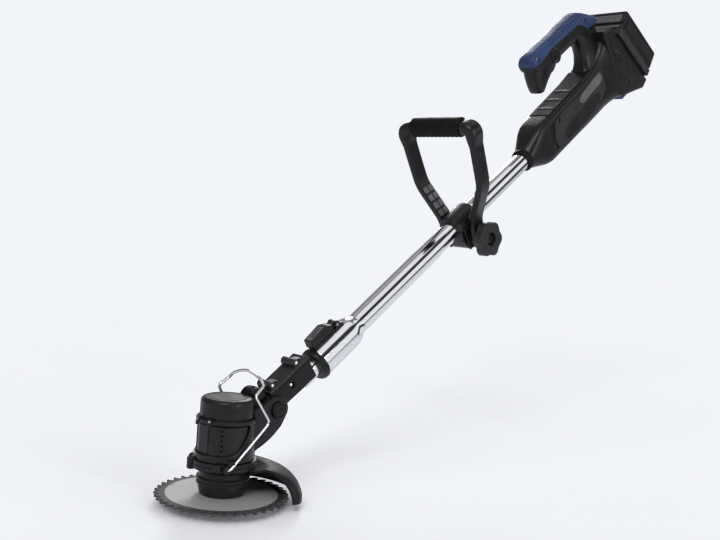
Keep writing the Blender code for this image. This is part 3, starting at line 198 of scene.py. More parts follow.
def noise(tree, scale, detail=4.0, stretch=(1, 1, 1), turn=0.0):
    """Object-space noise, its scale in cycles per metre, stretched along the shaft's frame."""
    coordinates = add(tree, "TexCoord")
    mapping = add(tree, "Mapping", {"Scale": stretch, "Rotation": (0, turn, 0)})
    texture = add(tree, "TexNoise", {"Scale": scale, "Detail": detail})
    tree.links.new(coordinates.outputs["Object"], mapping.inputs["Vector"])
    tree.links.new(mapping.outputs[0], texture.inputs["Vector"])
    return texture.outputs["Fac"]


def spread(tree, value, low, high, low_in=0.3, high_in=0.7):
    """The value's usual range stretched to another one."""
    limits = {"From Min": low_in, "From Max": high_in, "To Min": low, "To Max": high}
    ranged = add(tree, "MapRange", limits)
    tree.links.new(value, ranged.inputs["Value"])
    return ranged.outputs[0]


def blend(tree, factor, first, second):
    """Mixes two colours, each of them a socket or plain values."""
    mix = add(tree, "Mix", data_type="RGBA")
    tree.links.new(factor, mix.inputs["Factor"])
    for key, colour in (("A", first), ("B", second)):
        if isinstance(colour, tuple):
            mix.inputs[key].default_value = (*colour, 1)
        else:
            tree.links.new(colour, mix.inputs[key])
    return mix.outputs["Result"]


def scaled(colour, factor):
    return tuple(c * factor for c in colour)


def bump(tree, shader, height, distance, strength):
    node = add(tree, "Bump", {"Strength": strength, "Distance": distance})
    tree.links.new(height, node.inputs["Height"])
    tree.links.new(node.outputs[0], shader.inputs["Normal"])


def worn_edges(tree, colour, edge, amount):
    """Rubs a lighter tone into convex edges, broken up by noise."""
    edges = spread(tree, add(tree, "NewGeometry").outputs["Pointiness"], 0, amount, 0.52, 0.6)
    patches = spread(tree, noise(tree, 90), 0, 1, 0.4, 0.65)
    both = add(tree, "Math", operation="MULTIPLY")
    tree.links.new(edges, both.inputs[0])
    tree.links.new(patches, both.inputs[1])
    return blend(tree, both.outputs[0], colour, edge)


def plastic(name, colour, roughness, grain=1400, depth=0.00004, edge=None, gloss=0.32):
    """Moulded plastic: fine spark-eroded grain, faint mottling and rubbed edges."""
    look, shader, tree = new_look(name)
    base = blend(tree, spread(tree, noise(tree, 25), 0, 1), scaled(colour, 0.8), scaled(colour, 1.25))
    edge = edge or tuple(min(1, c * 2.0 + 0.008) for c in colour)
    tree.links.new(worn_edges(tree, base, edge, 0.5), shader.inputs["Base Color"])
    patches = spread(tree, noise(tree, 60), roughness - 0.06, roughness + 0.08)
    tree.links.new(patches, shader.inputs["Roughness"])
    shader.inputs["Specular IOR Level"].default_value = gloss
    bump(tree, shader, noise(tree, grain, 2), depth, 0.5)
    return look


def metal(name, colour, low, high, streaks, scale, turn=0.0):
    """Bare or plated metal, with roughness that follows the polishing marks."""
    look, shader, tree = new_look(name)
    marks = noise(tree, scale, 6, streaks, turn)
    shader.inputs["Metallic"].default_value = 1.0
    tone = blend(tree, spread(tree, marks, 0, 1), scaled(colour, 0.93), colour)
    tree.links.new(tone, shader.inputs["Base Color"])
    tree.links.new(spread(tree, marks, low, high), shader.inputs["Roughness"])
    bump(tree, shader, marks, 0.000004, 0.4)
    return look


def disc_steel(name, rim_radius, inner, outer):
    """Ground steel with circular marks, bright inside the rim radius and darker outside it."""
    look, shader, tree = new_look(name)
    link = tree.links.new
    flat = add(tree, "VectorMath", {1: (1, 1, 0)}, operation="MULTIPLY")
    link(add(tree, "TexCoord").outputs["Object"], flat.inputs[0])
    length = add(tree, "VectorMath", operation="LENGTH")
    link(flat.outputs[0], length.inputs[0])
    radius = length.outputs["Value"]
    rings = add(tree, "TexNoise", noise_dimensions="1D")
    rings.inputs["Scale"].default_value = 2600
    rings.inputs["Detail"].default_value = 5
    link(radius, rings.inputs["W"])
    marks = rings.outputs["Fac"]
    zone = spread(tree, radius, 0, 1, (rim_radius - 0.25) * MM, (rim_radius + 0.25) * MM)
    bright = blend(tree, spread(tree, marks, 0, 1), scaled(inner, 0.86), inner)
    dull = blend(tree, spread(tree, noise(tree, 300), 0, 1), scaled(outer, 0.6), outer)
    link(blend(tree, zone, bright, dull), shader.inputs["Base Color"])
    shader.inputs["Metallic"].default_value = 0.4
    link(spread(tree, marks, 0.46, 0.58), shader.inputs["Roughness"])
    bump(tree, shader, marks, 0.000012, 0.5)
    return look


BLACK = plastic("satin_black", (0.0055, 0.0055, 0.006), 0.34)
SOFT_BLACK = plastic("matt_black", (0.008, 0.008, 0.0085), 0.48, 1800, 0.00006, gloss=0.22)
GREY = plastic("dark_grey", (0.02, 0.02, 0.021), 0.38)
LIGHT_GREY = plastic("mid_grey", (0.1, 0.1, 0.104), 0.42)
BLUE = plastic("deep_blue", (0.017, 0.038, 0.115), 0.4, 1600, 0.00005, (0.04, 0.07, 0.17))
RUBBER = plastic("ribbed_rubber", (0.006, 0.006, 0.006), 0.55, 2400, 0.00005, gloss=0.14)
CHROME = metal("tube_chrome", (0.86, 0.87, 0.89), 0.04, 0.12, (0.04, 1, 1), 260, SHAFT_ANGLE)
WIRE = metal("wire_chrome", (0.84, 0.85, 0.87), 0.08, 0.2, (1, 1, 1), 400)
STEEL = metal("machined_steel", (0.5, 0.51, 0.53), 0.25, 0.42, (1, 1, 0.1), 500)
COPPER = metal("copper", (0.62, 0.33, 0.18), 0.3, 0.5, (1, 1, 0.1), 300)
CELL = plastic("cell_film", (0.06, 0.24, 0.2), 0.35)
DISC = disc_steel("disc_ground", 63.0, (0.5, 0.5, 0.505), (0.085, 0.085, 0.09))
CARBIDE = metal("tooth_tip", (0.12, 0.12, 0.125), 0.3, 0.5, (1, 1, 1), 800)


# ---------------------------------------------------------------- mesh builders


def make_mesh(name, points, faces):
    data = bpy.data.meshes.new(name)
    data.from_pydata([Vector(point) * MM for point in points], [], faces)
    shape = bmesh.new()
    shape.from_mesh(data)
    bmesh.ops.remove_doubles(shape, verts=shape.verts, dist=1e-7)
    bmesh.ops.recalc_face_normals(shape, faces=shape.faces)
    shape.to_mesh(data)
    shape.free()
    obj = bpy.data.objects.new(name, data)
    bpy.context.scene.collection.objects.link(obj)
    return obj


def prism(name, lower, upper):
    """Two matching rings of points joined into a solid."""
    count = len(lower)
    faces = [tuple(range(count)), tuple(range(2 * count - 1, count - 1, -1))]
    faces += [(i, (i + 1) % count, (i + 1) % count + count, i + count) for i in range(count)]
    return make_mesh(name, lower + upper, faces)


def plate(name, outline, low, high):
    """An outline in X and Z made solid between two values of Y."""
    return prism(name, [(x, low, z) for x, z in outline], [(x, high, z) for x, z in outline])


def box(name, low, high):
    outline = [(low[0], low[2]), (high[0], low[2]), (high[0], high[2]), (low[0], high[2])]
    return plate(name, outline, low[1], high[1])


def grid(name, rows, closed_rows=False, capped=False):
    """A skin through rows of points that all have the same count. Each row is a closed ring."""
    count = len(rows[0])
    points = [point for row in rows for point in row]
    faces = []
    total = len(rows)
    for i in range(total if closed_rows else total - 1):
        for j in range(count):
            k = (j + 1) % count
            n = (i + 1) % total
            faces.append((i * count + j, i * count + k, n * count + k, n * count + j))
    if capped:
        faces.append(tuple(range(count)))
        faces.append(tuple(range((total - 1) * count, total * count)))
    return make_mesh(name, points, faces)


def lathe(name, profile, axis=ALONG_Z, centre=(0, 0, 0), steps=96):
    """A closed profile of (radius, height) turned fully about an axis."""
    rows = []
    for step in range(steps):
        angle = 2 * math.pi * step / steps
        row = [Vector((r * math.cos(angle), r * math.sin(angle), h)) for r, h in profile]
        rows.append([axis @ point + Vector(centre) for point in row])
    return grid(name, rows, closed_rows=True)


def rod(name, radius, low, high, axis=ALONG_Z, centre=(0, 0, 0), steps=48, edge=0.0):
    """A solid bar with softened ends."""
    rings = [(radius - edge, low), (radius, low + edge), (radius, high - edge), (radius - edge, high)]
    rows = []
    for r, h in rings:
        turn = [2 * math.pi * step / steps for step in range(steps)]
        rows.append([axis @ Vector((r * math.cos(a), r * math.sin(a), h)) + Vector(centre) for a in turn])
    return grid(name, rows, capped=True)


def pin(name, radius, low, high, at, steps=48, edge=0.0):
    """A bar along Y through a place given in X and Z."""
    return rod(name, radius, low, high, ALONG_Y, (at[0], 0, at[1]), steps, edge)


def turned(obj, degrees, axis="Z", at=(0, 0, 0)):
    """The object turned about the origin of the frame it is made in, then moved to a place."""
    turn = Matrix.Rotation(math.radians(degrees), 4, axis)
    obj.data.transform(Matrix.Translation(Vector(at) * MM) @ turn)
    return obj


def span(side, near, far):
    """The two values of Y at two distances from the middle plane, on one side of it."""
    return sorted((side * near, side * far))


def apply_modifiers(obj):
    """Bakes the object's modifiers into its mesh."""
    graph = bpy.context.evaluated_depsgraph_get()
    graph.update()
    data = bpy.data.meshes.new_from_object(obj.evaluated_get(graph))
    obj.modifiers.clear()
    obj.data = data


def combine(target, other, operation):
    """Applies one exact Boolean and removes the second object."""
    boolean = target.modifiers.new(operation, "BOOLEAN")
    boolean.operation = operation
    boolean.solver = "EXACT"
    boolean.object = other
    apply_modifiers(target)
    bpy.data.objects.remove(other, do_unlink=True)


def cut(target, *others):
    for other in others:
        combine(target, other, "DIFFERENCE")


def join(target, *others):
    for other in others:
        combine(target, other, "UNION")


def keep(target, other):
    combine(target, other, "INTERSECT")


def soften(obj, width, segments=3, angle=35.0):
    bevel = obj.modifiers.new("Bevel", "BEVEL")
    bevel.width = width * MM
    bevel.segments = segments
    bevel.limit_method = "ANGLE"
    bevel.angle_limit = math.radians(angle)
    bevel.use_clamp_overlap = True
    apply_modifiers(obj)


def bundle(name, objects):
    """Several made meshes as one object, kept as separate shells."""
    shape = bmesh.new()
    for obj in objects:
        shape.from_mesh(obj.data)
        bpy.data.objects.remove(obj, do_unlink=True)
    data = bpy.data.meshes.new(name)
    shape.to_mesh(data)
    shape.free()
    made = bpy.data.objects.new(name, data)
    bpy.context.scene.collection.objects.link(made)
    return made


def place(obj, body, look, where=WORLD, stands_for=(), sharp=32.0):
    """Puts a finished piece on its body, with its finish, its shading and the nodes it replaces."""
    obj.data.transform(where)
    obj.data.materials.clear()
    obj.data.materials.append(look)
    obj.data.shade_smooth()
    obj.data.set_sharp_from_angle(angle=math.radians(sharp))
    weighted = obj.modifiers.new("Normals", "WEIGHTED_NORMAL")
    weighted.keep_sharp = True
    apply_modifiers(obj)
    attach(obj, body)
    if stands_for:
        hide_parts(*stands_for)
    return obj


def fit(obj, body, look, node, where=SHAFT, sharp=32.0):
    """Places a piece, made in the shaft frame unless another is given, instead of one CAD node."""
    return place(obj, body, look, where, [node], sharp)


# ---------------------------------------------------------------- outline helpers


def arc(centre, radius, start, end, steps):
    turns = [math.radians(start + (end - start) * i / steps) for i in range(steps + 1)]
    return [(centre[0] + radius * math.cos(a), centre[1] + radius * math.sin(a)) for a in turns]


def eased(share):
    return share * share * (3 - 2 * share)


def limited(value):
    return max(0.0, min(1.0, value))


def fillet(path, radius, steps=5, closed=False):
    """The path with its corners rounded. Points are tuples of any dimension."""
    points = [Vector(point) for point in path]
    count = len(points)
    rounded = []
    for i, here in enumerate(points):
        if not closed and i in (0, count - 1):
            rounded.append(here)
            continue
        before, after = points[i - 1], points[(i + 1) % count]
        reach = min(radius, (before - here).length * 0.45, (after - here).length * 0.45)
        first = here + (before - here).normalized() * reach
        last = here + (after - here).normalized() * reach
        for step in range(steps + 1):
            t = step / steps
            rounded.append(first * (1 - t) ** 2 + here * 2 * t * (1 - t) + last * t * t)
    return [tuple(point) for point in rounded]


def rounded(outline, radius, steps):
    return fillet(outline, radius, steps, closed=True)


def resized(outline, centre, factor):
    """An outline in X and Z drawn in towards a centre."""
    middle = Vector(centre)
    return [tuple((Vector(point) - middle) * factor + middle) for point in outline]


def sweep(name, path, section, up_hint):
    """A section function of the point's index, giving (side, up) pairs, carried along a path."""
    points = [Vector(point) for point in path]
    rows = []
    count = len(points)
    for i, here in enumerate(points):
        before = (here - points[i - 1]).normalized() if i else None
        after = (points[i + 1] - here).normalized() if i < count - 1 else None
        before = before or after
        after = after or before
        along = (before + after).normalized()
        side = along.cross(Vector(up_hint)).normalized()
        up = side.cross(along).normalized()
        stretch = 1 / max(0.6, along.dot(after))
        rows.append([here + side * a * stretch + up * b for a, b in section(i)])
    return grid(name, rows, capped=True)


def ellipse(half_side, half_up, power, steps):
    """A superellipse, which nears a rectangle as the power grows."""

    def bulge(value):
        return math.copysign(abs(value) ** (2 / power), value)

    angles = [2 * math.pi * (step + 0.5) / steps for step in range(steps)]
    return [(half_side * bulge(math.cos(a)), half_up * bulge(math.sin(a))) for a in angles]


def dock(along, out):
    """A place in the shaft frame from the pack's own: along its length, and out from the dock."""
    s = 851 + along * math.sin(DOCK_LEAN) + out * math.cos(DOCK_LEAN)
    h = 72 - along * math.cos(DOCK_LEAN) + out * math.sin(DOCK_LEAN)
    return (s, h)


def dock_box(a0, a1, o0, o1):
    """Outline of a block in the pack's own frame, between two lengths and two heights."""
    return [dock(a0, o0), dock(a1, o0), dock(a1, o1), dock(a0, o1)]


# ---------------------------------------------------------------- blade and motor head


def make_disc():
    """Toothed disc with round-bottomed gullets, four expansion slots and a tip on each tooth."""
    radius, depth, teeth = 75.0, 5.5, 40
    low, high = BLADE_TOP - 2.0, BLADE_TOP
    step = 360 / teeth
    shape = ((0.0, 0.0), (0.1, 0.12), (0.22, 0.22), (0.36, 0.5), (0.46, 0.85), (0.54, 1.05))
    gullet = ((0.62, 1.16), (0.72, 1.2), (0.82, 1.12), (0.9, 0.92), (0.97, 0.6))
    outline = []
    for tooth in range(teeth):
        for share, drop in shape + gullet:
            angle = math.radians(step * (tooth + share))
            reach = radius - depth * drop
            outline.append((reach * math.cos(angle), reach * math.sin(angle)))
    rings = [[(x, y, z) for x, y in outline] for z in (low, high)]
    disc = prism("toothed_disc", *rings)
    cut(disc, rod("bore", 4.3, low - 2, high + 2))
    for turn in range(4):
        degrees = 90 * turn + 29.5
        angle = math.radians(degrees)
        slot = turned(box("slot", (60.5, -0.45, low - 2), (72, 0.45, high + 2)), degrees)
        hole = (60.0 * math.cos(angle), 60.0 * math.sin(angle), 0)
        cut(disc, slot, rod("hole", 1.5, low - 2, high + 2, centre=hole, steps=20))
    fit(disc, "rotor", DISC, "saw_blade", WORLD, sharp=30)

    tips = []
    for tooth in range(teeth):
        tip = box("tip", (70.4, -0.2, low - 0.25), (74.9, 1.5, high + 0.25))
        soften(tip, 0.3, 1)
        tips.append(turned(tip, step * tooth))
    place(bundle("disc_tips", tips), "rotor", CARBIDE)


# Distance of the three screw lugs from the spindle, then the angle and height of each.
LUG_REACH = 36.4
NOSE_LUGS = ((152, 12.6), (222, 8.0), (40, 12.6))


def make_nose():
    """Bearing nose with bands, screw lugs and the bail's bosses."""
    z = BLADE_TOP
    profile = [
        (19.2, 6.5), (19.2, 1.4), (19.7, 0.9), (24.0, 0.9), (25.2, 1.5), (26.0, 3.4), (27.0, 7.6),
        (27.4, 10.4), (27.0, 11.6), (27.4, 12.1), (28.8, 12.4), (29.5, 13.2), (29.5, 15.6), (29.0, 16.1),
        (29.0, 16.7), (29.5, 17.2), (29.5, 19.8), (28.8, 20.6), (27.4, 20.8), (26.8, 21.6), (26.8, 26.9),
        (27.5, 28.0), (30.8, 28.5), (32.3, 30.2), (35.3, 31.2), (36.4, 32.2), (36.4, 35.6), (35.8, 36.2),
        (35.8, 36.8), (36.4, 37.4), (36.4, 39.6), (35.6, 40.6), (34.0, 41.0), (6.0, 41.0), (6.0, 6.5),
    ]
    nose = lathe("nose_shell", [(r, z + h) for r, h in profile], steps=FINE)
    extras = []
    for angle, tall in NOSE_LUGS:
        lug = rod("lug", 4.6, z + 41.6 - tall, z + 41.6, centre=(LUG_REACH, 0, 0), edge=0.8)
        extras.append(turned(lug, angle))
    for side in (-1, 1):
        extras.append(pin("boss", 5.0, *span(side, 20, 33.6), BAIL_PIVOT, edge=0.7))
    clip = box("clip", (-38.0, -12, z + 33), (-32.0, -4, z + 46))
    soften(clip, 0.9)
    extras.append(turned(clip, 52))
    join(nose, *extras)
    centres = []
    for angle, _tall in NOSE_LUGS:
        a = math.radians(angle)
        centres.append((LUG_REACH * math.cos(a), LUG_REACH * math.sin(a), 0))
    for centre in centres:
        cut(nose, rod("screw_well", 2.6, z + 38.5, z + 50, centre=centre, steps=24))
    for side in (-1, 1):
        cut(nose, pin("bail_bore", 1.8, *span(side, 24, 60), BAIL_PIVOT, 20))
    fit(nose, "head", BLACK, "nose_housing", WORLD)
    heads = []
    for x, y, _height in centres:
        head = rod("head", 2.3, z + 38.9, z + 40.4, centre=(x, y, 0), steps=24, edge=0.3)
        cut(head, box("slot", (x - 2.2, y - 0.4, z + 39.7), (x + 2.2, y + 0.4, z + 42)))
        heads.append(head)
    place(bundle("nose_screws", heads), "head", STEEL)


def make_motor():
    """Motor housing seen in the casing's window: ribs, a column of vent holes and panel edges."""
    z = BLADE_TOP
    outer, inner = 30.8, 28.6
    shell = lathe(
        "motor_shell", [(inner, z + 41.4), (outer, z + 41.4), (outer, z + 81), (inner, z + 81)], steps=FINE
    )
    ribs = []
    for angle, wide, proud in (
        (217, 3.6, 0.6), (233, 3.6, 0.6), (143, 3.6, 0.6), (127, 3.6, 0.6), (180, 16, -0.2)
    ):
        rib = box("rib", (28.0, -wide / 2, z + 49.6), (31.05 + proud, wide / 2, z + 81))
        soften(rib, 0.35)
        ribs.append(turned(rib, angle))
    join(shell, *ribs)
    for angle in (225, 135):
        for level in range(5):
            hole = rod("hole", 1.35, 25, 36, ALONG_X, (0, 0, z + 55 + 5.5 * level), steps=20)
            cut(shell, turned(hole, angle))
    fit(shell, "head", BLACK, "motor_housing", WORLD)


def casing_arm():
    """Side view of one ear, from the hinge down to the lower band."""
    z = BLADE_TOP
    ear = arc(HINGE_AT, 15.5, 112, -20, 20)
    back = fillet([(62.5, z + 73.5), (50, z + 62), (36, z + 53.5), (26, z + 49.5), (20, z + 41.4)], 6)
    return ear + back + [(-4, z + 41.4), (-4, z + 87.5), (30, z + 98.5)]


def window():
    """Side view of the opening that shows the motor housing."""
    z = BLADE_TOP
    curve = fillet([(-40, 49), (-22, 49), (-13, 51), (-3, 58), (5, 70), (10, 83), (-40, 83)], 9, 6)
    return [(-80, z + 49)] + [(x, z + h) for x, h in curve] + [(-80, z + 83)]


def make_casing():
    """Two halves of a banded shell whose cheeks rise into the ears of the hinge."""
    z = BLADE_TOP
    rings = [
        (31.2, 41.4), (33.1, 41.4), (33.5, 41.9), (33.5, 48.4), (33.2, 48.9), (33.2, 83.2), (33.5, 83.6),
        (33.5, 86.6), (32.6, 87.5), (31.2, 87.5),
    ]
    for word, side in SIDES:
        node = f"casing_{word}"
        shell = lathe(f"casing_shell_{word}", [(r, z + h) for r, h in rings], steps=FINE)
        cheek = plate("cheek", casing_arm(), *span(side, 4.0, 22.5))
        soften(cheek, 2.4, 4)
        hump = pin("hump", 14.5, -13, 13, (36, z + 103), 64, 4.5)
        join(shell, cheek, hump)
        cut(shell, rod("motor_bore", 31.1, z + 35, z + 92, steps=FINE))
        cut(shell, rod("cap_bore", 30.1, z + 81.5, z + 140, steps=FINE), plate("window", window(), -60, 60))
        slot = pin("arm_slot", 21.4, -14, 14, HINGE_AT, 64)
        join(slot, plate("behind", [(56, z + 60), (116, z + 60), (116, z + 140), (56, z + 140)], -14, 14))
        cut(shell, slot, pin("bolt_hole", HINGE_BORE, -60, 60, HINGE_AT, 32))
        cut(shell, box("hump_slot", (33, -4, z + 114), (41, 4, z + 125)))
        if side < 0:
            cut(shell, pin("button_well", 10.4, -30, -18, HINGE_AT, 64))
        low, high = span(side, 0.15, 100)
        keep(shell, box("half", (-200, low, -50), (200, high, 300)))
        fit(shell, "head", BLACK, node, WORLD)
        facet = [(36, z + 60), (47, z + 66), (60, z + 78), (44, z + 78), (34, z + 70)]
        panel = plate(f"cheek_panel_{word}", rounded(facet, 3, 4), *span(side, 22.5, 23.1))
        soften(panel, 0.3, 2)
        place(panel, "head", BLACK)
    clips, dots = [], []
    for angle in (163, 199):
        clip = box("clip", (32.6, -3.4, z + 81.5), (34.6, 3.4, z + 89.0))
        soften(clip, 0.7)
        tab = box("tab", (33.8, -1.8, z + 80), (35.6, 1.8, z + 83.5))
        soften(tab, 0.5)
        join(clip, tab)
        clips.append(turned(clip, angle))
        dots.append(turned(dome("dot", 1.5, 0.8, 34.5, ALONG_X, (0, 0, z + 86.5), 20), angle))
    place(bundle("casing_clips", clips), "head", BLACK)
    place(bundle("casing_dots", dots), "head", STEEL)


def make_cap():
    """Stepped cap with a recessed lid and one scooped groove."""
    z = BLADE_TOP
    turns = [math.radians(a) for a in range(90, -1, -10)]
    edge = [(24.8 + 5 * math.sin(a), 104.4 + 5 * math.cos(a)) for a in turns]
    rings = [(27.2, 81.9), (29.5, 81.9), (29.8, 82.3), (29.8, 88.2), (29.4, 88.6), (29.4, 89.0), (29.8, 89.4)]
    top = [
        (21.5, 109.4), (21.2, 109.0), (20.2, 109.0), (19.9, 109.35), (0.02, 109.35), (0.02, 106.8),
        (24, 106.8), (27.2, 103.5),
    ]
    cap = lathe("cap_shell", [(r, z + h) for r, h in rings + edge + top], steps=FINE)
    groove = rod("groove", 2.0, 24, 40, ALONG_X, (0, 0, z + 98.5), steps=32)
    for point in groove.data.vertices:
        point.co.y *= 4.2
    turned(groove, 243)
    cut(groove, rod("inner", 29.1, z + 90, z + 108, steps=FINE))
    cut(cap, groove)
    fit(cap, "head", BLACK, "motor_cap", WORLD)


def make_guard():
    """Rear guard: a dished fan with rounded ends and a rolled lower lip."""
    z = BLADE_TOP
    top = [(29.5, 24.4), (36, 27.2), (50, 33.2), (62, 30.8), (76, 24.6), (85.5, 14.6), (89.8, 4), (90, -3)]
    path = fillet(top, 9, 4)
    half, steps = 56.0, 48
    rows = []
    for step in range(steps + 1):
        angle = -half + 2 * half * step / steps
        near_end = max(0.0, (abs(angle) - (half - 9)) / 9)
        trim = 1 - 0.1 * (1 - math.sqrt(max(0.0, 1 - near_end**2)))
        turn = math.radians(angle)
        outside = [(29.5 + (r - 29.5) * trim, h) for r, h in path]
        inside = [(r - 1.9 if h < 30 else r, h - 3.0 if h > -1 else -3) for r, h in reversed(outside)]
        ring = outside + inside
        rows.append([(r * math.cos(turn), r * math.sin(turn), z + h) for r, h in ring])
    guard = grid("guard_shell", rows, capped=True)
    soften(guard, 0.9, 3, 50)
    fit(guard, "head", SOFT_BLACK, "blade_guard", WORLD, sharp=40)


def make_bail():
    z, half = BLADE_TOP, 35.6
    side = [(-20, half - 9, z + 36), (-20, half, z + 36), (32.5, half, z + 84), (11, half - 2.5, z + 115)]
    crown = [
        (25, half - 5, z + 125), (25.5, half - 10, z + 130), (25.5, half - 21, z + 134.5), (25.5, 3, z + 137)
    ]
    one = side + crown
    path = one + [(x, -y, h) for x, y, h in reversed(one)]
    path = fillet(path, 5, 6)
    bail = sweep("bail_wire", path, lambda index: ellipse(1.5, 1.5, 2, 14), (0.31, 0.02, 0.95))
    fit(bail, "bail", WIRE, "wire_bail", WORLD, sharp=60)


# ---------------------------------------------------------------- lower arm


def dome(name, radius, rise, seat, axis, centre, steps=32):
    """A shallow round screw head, its crown rise above the seat."""
    rings = [(radius * math.cos(a), rise * math.sin(a)) for a in [math.pi / 2 * i / 6 for i in range(6)]]
    profile = [(0.01, -1.0), (radius, -1.0)] + rings + [(0.01, rise)]
    return lathe(name, [(r, seat + h) for r, h in profile], axis, centre, steps)


# Stations of the two cross screws along the lower arm.
CROSS_SCREWS = (14.0, 56.0)


def make_arm():
    """Beam with its hinge knuckle, the cover with two screw bosses, and the inner tube."""
    knuckle = arc((0, HINGE_RISE), 14.1, 90, 215, 24)
    end = 73.0
    beam = plate("arm_shell", [(end, -4), (end, 21.7)] + knuckle, -13, 13)
    soften(beam, 1.4)
    cut(beam, pin("hinge_hole", HINGE_BORE, -30, 30, (0, HINGE_RISE), 32))
    cut(beam, rod("tube_seat", 12.0, 57.7, end + 5, ALONG_X, steps=64))
    cut(beam, pin("screw_well", 4.2, -16, -11, ARM_SCREW, 40))
    cut(beam, pin("screw_deep", 3.6, -16, -7, ARM_SCREW, 40))
    cut(beam, box("edge_line", (10, -13.4, 19.2), (end + 2, -12.6, 19.8)))
    fit(beam, "arm", SOFT_BLACK, "arm_beam")

    cover = box("cover_shell", (6, -13, 22), (end, 13, 26))
    soften(cover, 1.1)
    for station in CROSS_SCREWS:
        boss = pin("boss", 4.5, -12, 12, (station, 29.2), 40, 0.7)
        foot = box("foot", (station - 4.5, -12, 24.5), (station + 4.5, 12, 29.2))
        soften(foot, 0.6, 2)
        join(boss, foot)
        wing = plate("wing", [(station, 25), (station + 14, 25), (station + 9, 28.4), (station, 32)], -6, 6)
        soften(wing, 1.2)
        join(cover, boss, wing)
        cut(cover, pin("screw_hole", 2.9, -15, 0, (station, 30), 24))
    fit(cover, "arm", GREY, "arm_cover")

    for number, station in enumerate(CROSS_SCREWS, 1):
        node = f"cross_screw_{number}"
        screw = dome(f"cross_screw_head_{number}", 2.6, 1.5, 11.0, ALONG_Y, (0, 0, 0))
        turned(screw, 180, at=(station, 0, 30))
        fit(screw, "arm", WIRE, node)
    screw = dome("side_screw_head", 2.7, 1.6, 10.2, ALONG_Y, (0, 0, 0))
    turned(screw, 180, at=(ARM_SCREW[0], 0, ARM_SCREW[1]))
    fit(screw, "arm", WIRE, "arm_side_screw")

    profile = [(10.3, 58.2), (10.6, 58), (11.5, 58), (11.7, 58.3), (11.7, 439.8), (10.3, 440)]
    fit(lathe("inner_pole", profile, ALONG_X, steps=96), "arm", CHROME, "inner_tube")


def make_tilt_button():
    """Round button with one ring groove, on the axis of the hinge."""
    profile = [
        (0.02, -26), (2.2, -26), (2.5, -25.6), (3.0, -25.6), (3.3, -26), (7.2, -26), (7.5, -25.5),
        (8.0, -25.5), (8.3, -26), (9.2, -25.9), (9.9, -25.2), (10, -24.6), (10, -21.2), (0.02, -21.2),
    ]
    button = lathe("tilt_button_cap", profile, ALONG_Y, tuple(HINGE), steps=96)
    fit(button, "tilt_button", SOFT_BLACK, "tilt_button", WORLD)


# ---------------------------------------------------------------- shaft


def make_shaft():
    """Outer tube, which swells smoothly into its socket, and the socket's bush."""
    swell = [(19.5 - 6.0 * eased(i / 12), 148 + 22 * (i / 12)) for i in range(13)]
    outside = [(18.9, 91), (19.3, 91.1), (19.5, 91.6), (19.5, 146)] + swell + [(13.5, 649.8)]
    inside = [(12.0, 650), (12.0, 170), (18.0, 150), (18.0, 91)]
    tube = lathe("outer_pole", outside + inside, ALONG_X, steps=FINE)
    fit(tube, "rear", CHROME, "outer_tube", sharp=30)
    bush = [
        (12.0, 82), (17.2, 82), (18.6, 82.5), (20.0, 84.4), (20.4, 85.6), (19.7, 86.2), (19.7, 87.0),
        (20.5, 87.6), (20.5, 90.0), (19.9, 90.7), (17.7, 90.7), (17.7, 143), (12.0, 143),
    ]
    fit(lathe("bush_ring", bush, ALONG_X, steps=96), "rear", BLACK, "socket_bush")


def make_lever():
    """Saddle on the socket, and the wedge-shaped lever with its marked thumb pad."""
    half = 7.0
    outline = [(92, 14), (100, 13), (122, 14), (146, 19.5), (146, 21.5), (142, 23), (130, 22), (92, 22)]
    saddle = plate("saddle_shell", outline, -half, half)
    soften(saddle, 0.9, 2)
    join(saddle, pin("ears", 4.5, -half, half, LEVER_PIVOT, 40, 0.6))
    cut(saddle, rod("socket_space", 19.8, 60, 180, ALONG_X, steps=FINE))
    cut(saddle, pin("tail_space", 5.7, -4.8, 4.8, LEVER_PIVOT, 40))
    cut(saddle, pin("pin_hole", PIN_BORE, -9, 9, LEVER_PIVOT, 24))
    fit(saddle, "rear", BLACK, "lever_saddle")

    wedge = plate(
        "lever_wedge", [(90, 22.6), (128, 22.6), (128.5, 30.0), (117.5, 35.5), (90.6, 33.2)], -half, half
    )
    soften(wedge, 1.0)
    tail = plate("tail", [(124, 24.0), (136, 21.1), (136, 28.9), (124, 30.5)], -4.5, 4.5)
    join(wedge, tail, pin("eye", 3.9, -4.5, 4.5, LEVER_PIVOT, 32))
    cut(wedge, pin("pin_hole", PIN_BORE, -9, 9, LEVER_PIVOT, 24))
    fit(wedge, "lever", BLACK, "lock_lever")
    pad = plate("lever_thumb_pad", [(92, 33.1), (116.2, 35.15), (116.1, 35.6), (92, 33.55)], -5.6, 5.6)
    place(pad, "lever", LIGHT_GREY, SHAFT)
    marks = []
    for number in range(5):
        s = 98 + 3.2 * number
        h = 33.95 + 0.27 * number
        for side in (-1, 1):
            bar = box("bar", (-0.5, 0, -0.3), (0.5, 3.0, 0.35))
            turn = Matrix.Rotation(math.radians(-35), 4, "Z")
            mirror = Matrix.Scale(side, 4, (0, 1, 0))
            bar.data.transform(Matrix.Translation(Vector((s, 0, h)) * MM) @ mirror @ turn)
            if side < 0:
                bar.data.flip_normals()
            marks.append(bar)
    place(bundle("lever_chevrons", marks), "lever", BLACK, SHAFT)


# ---------------------------------------------------------------- loop handle and clamp


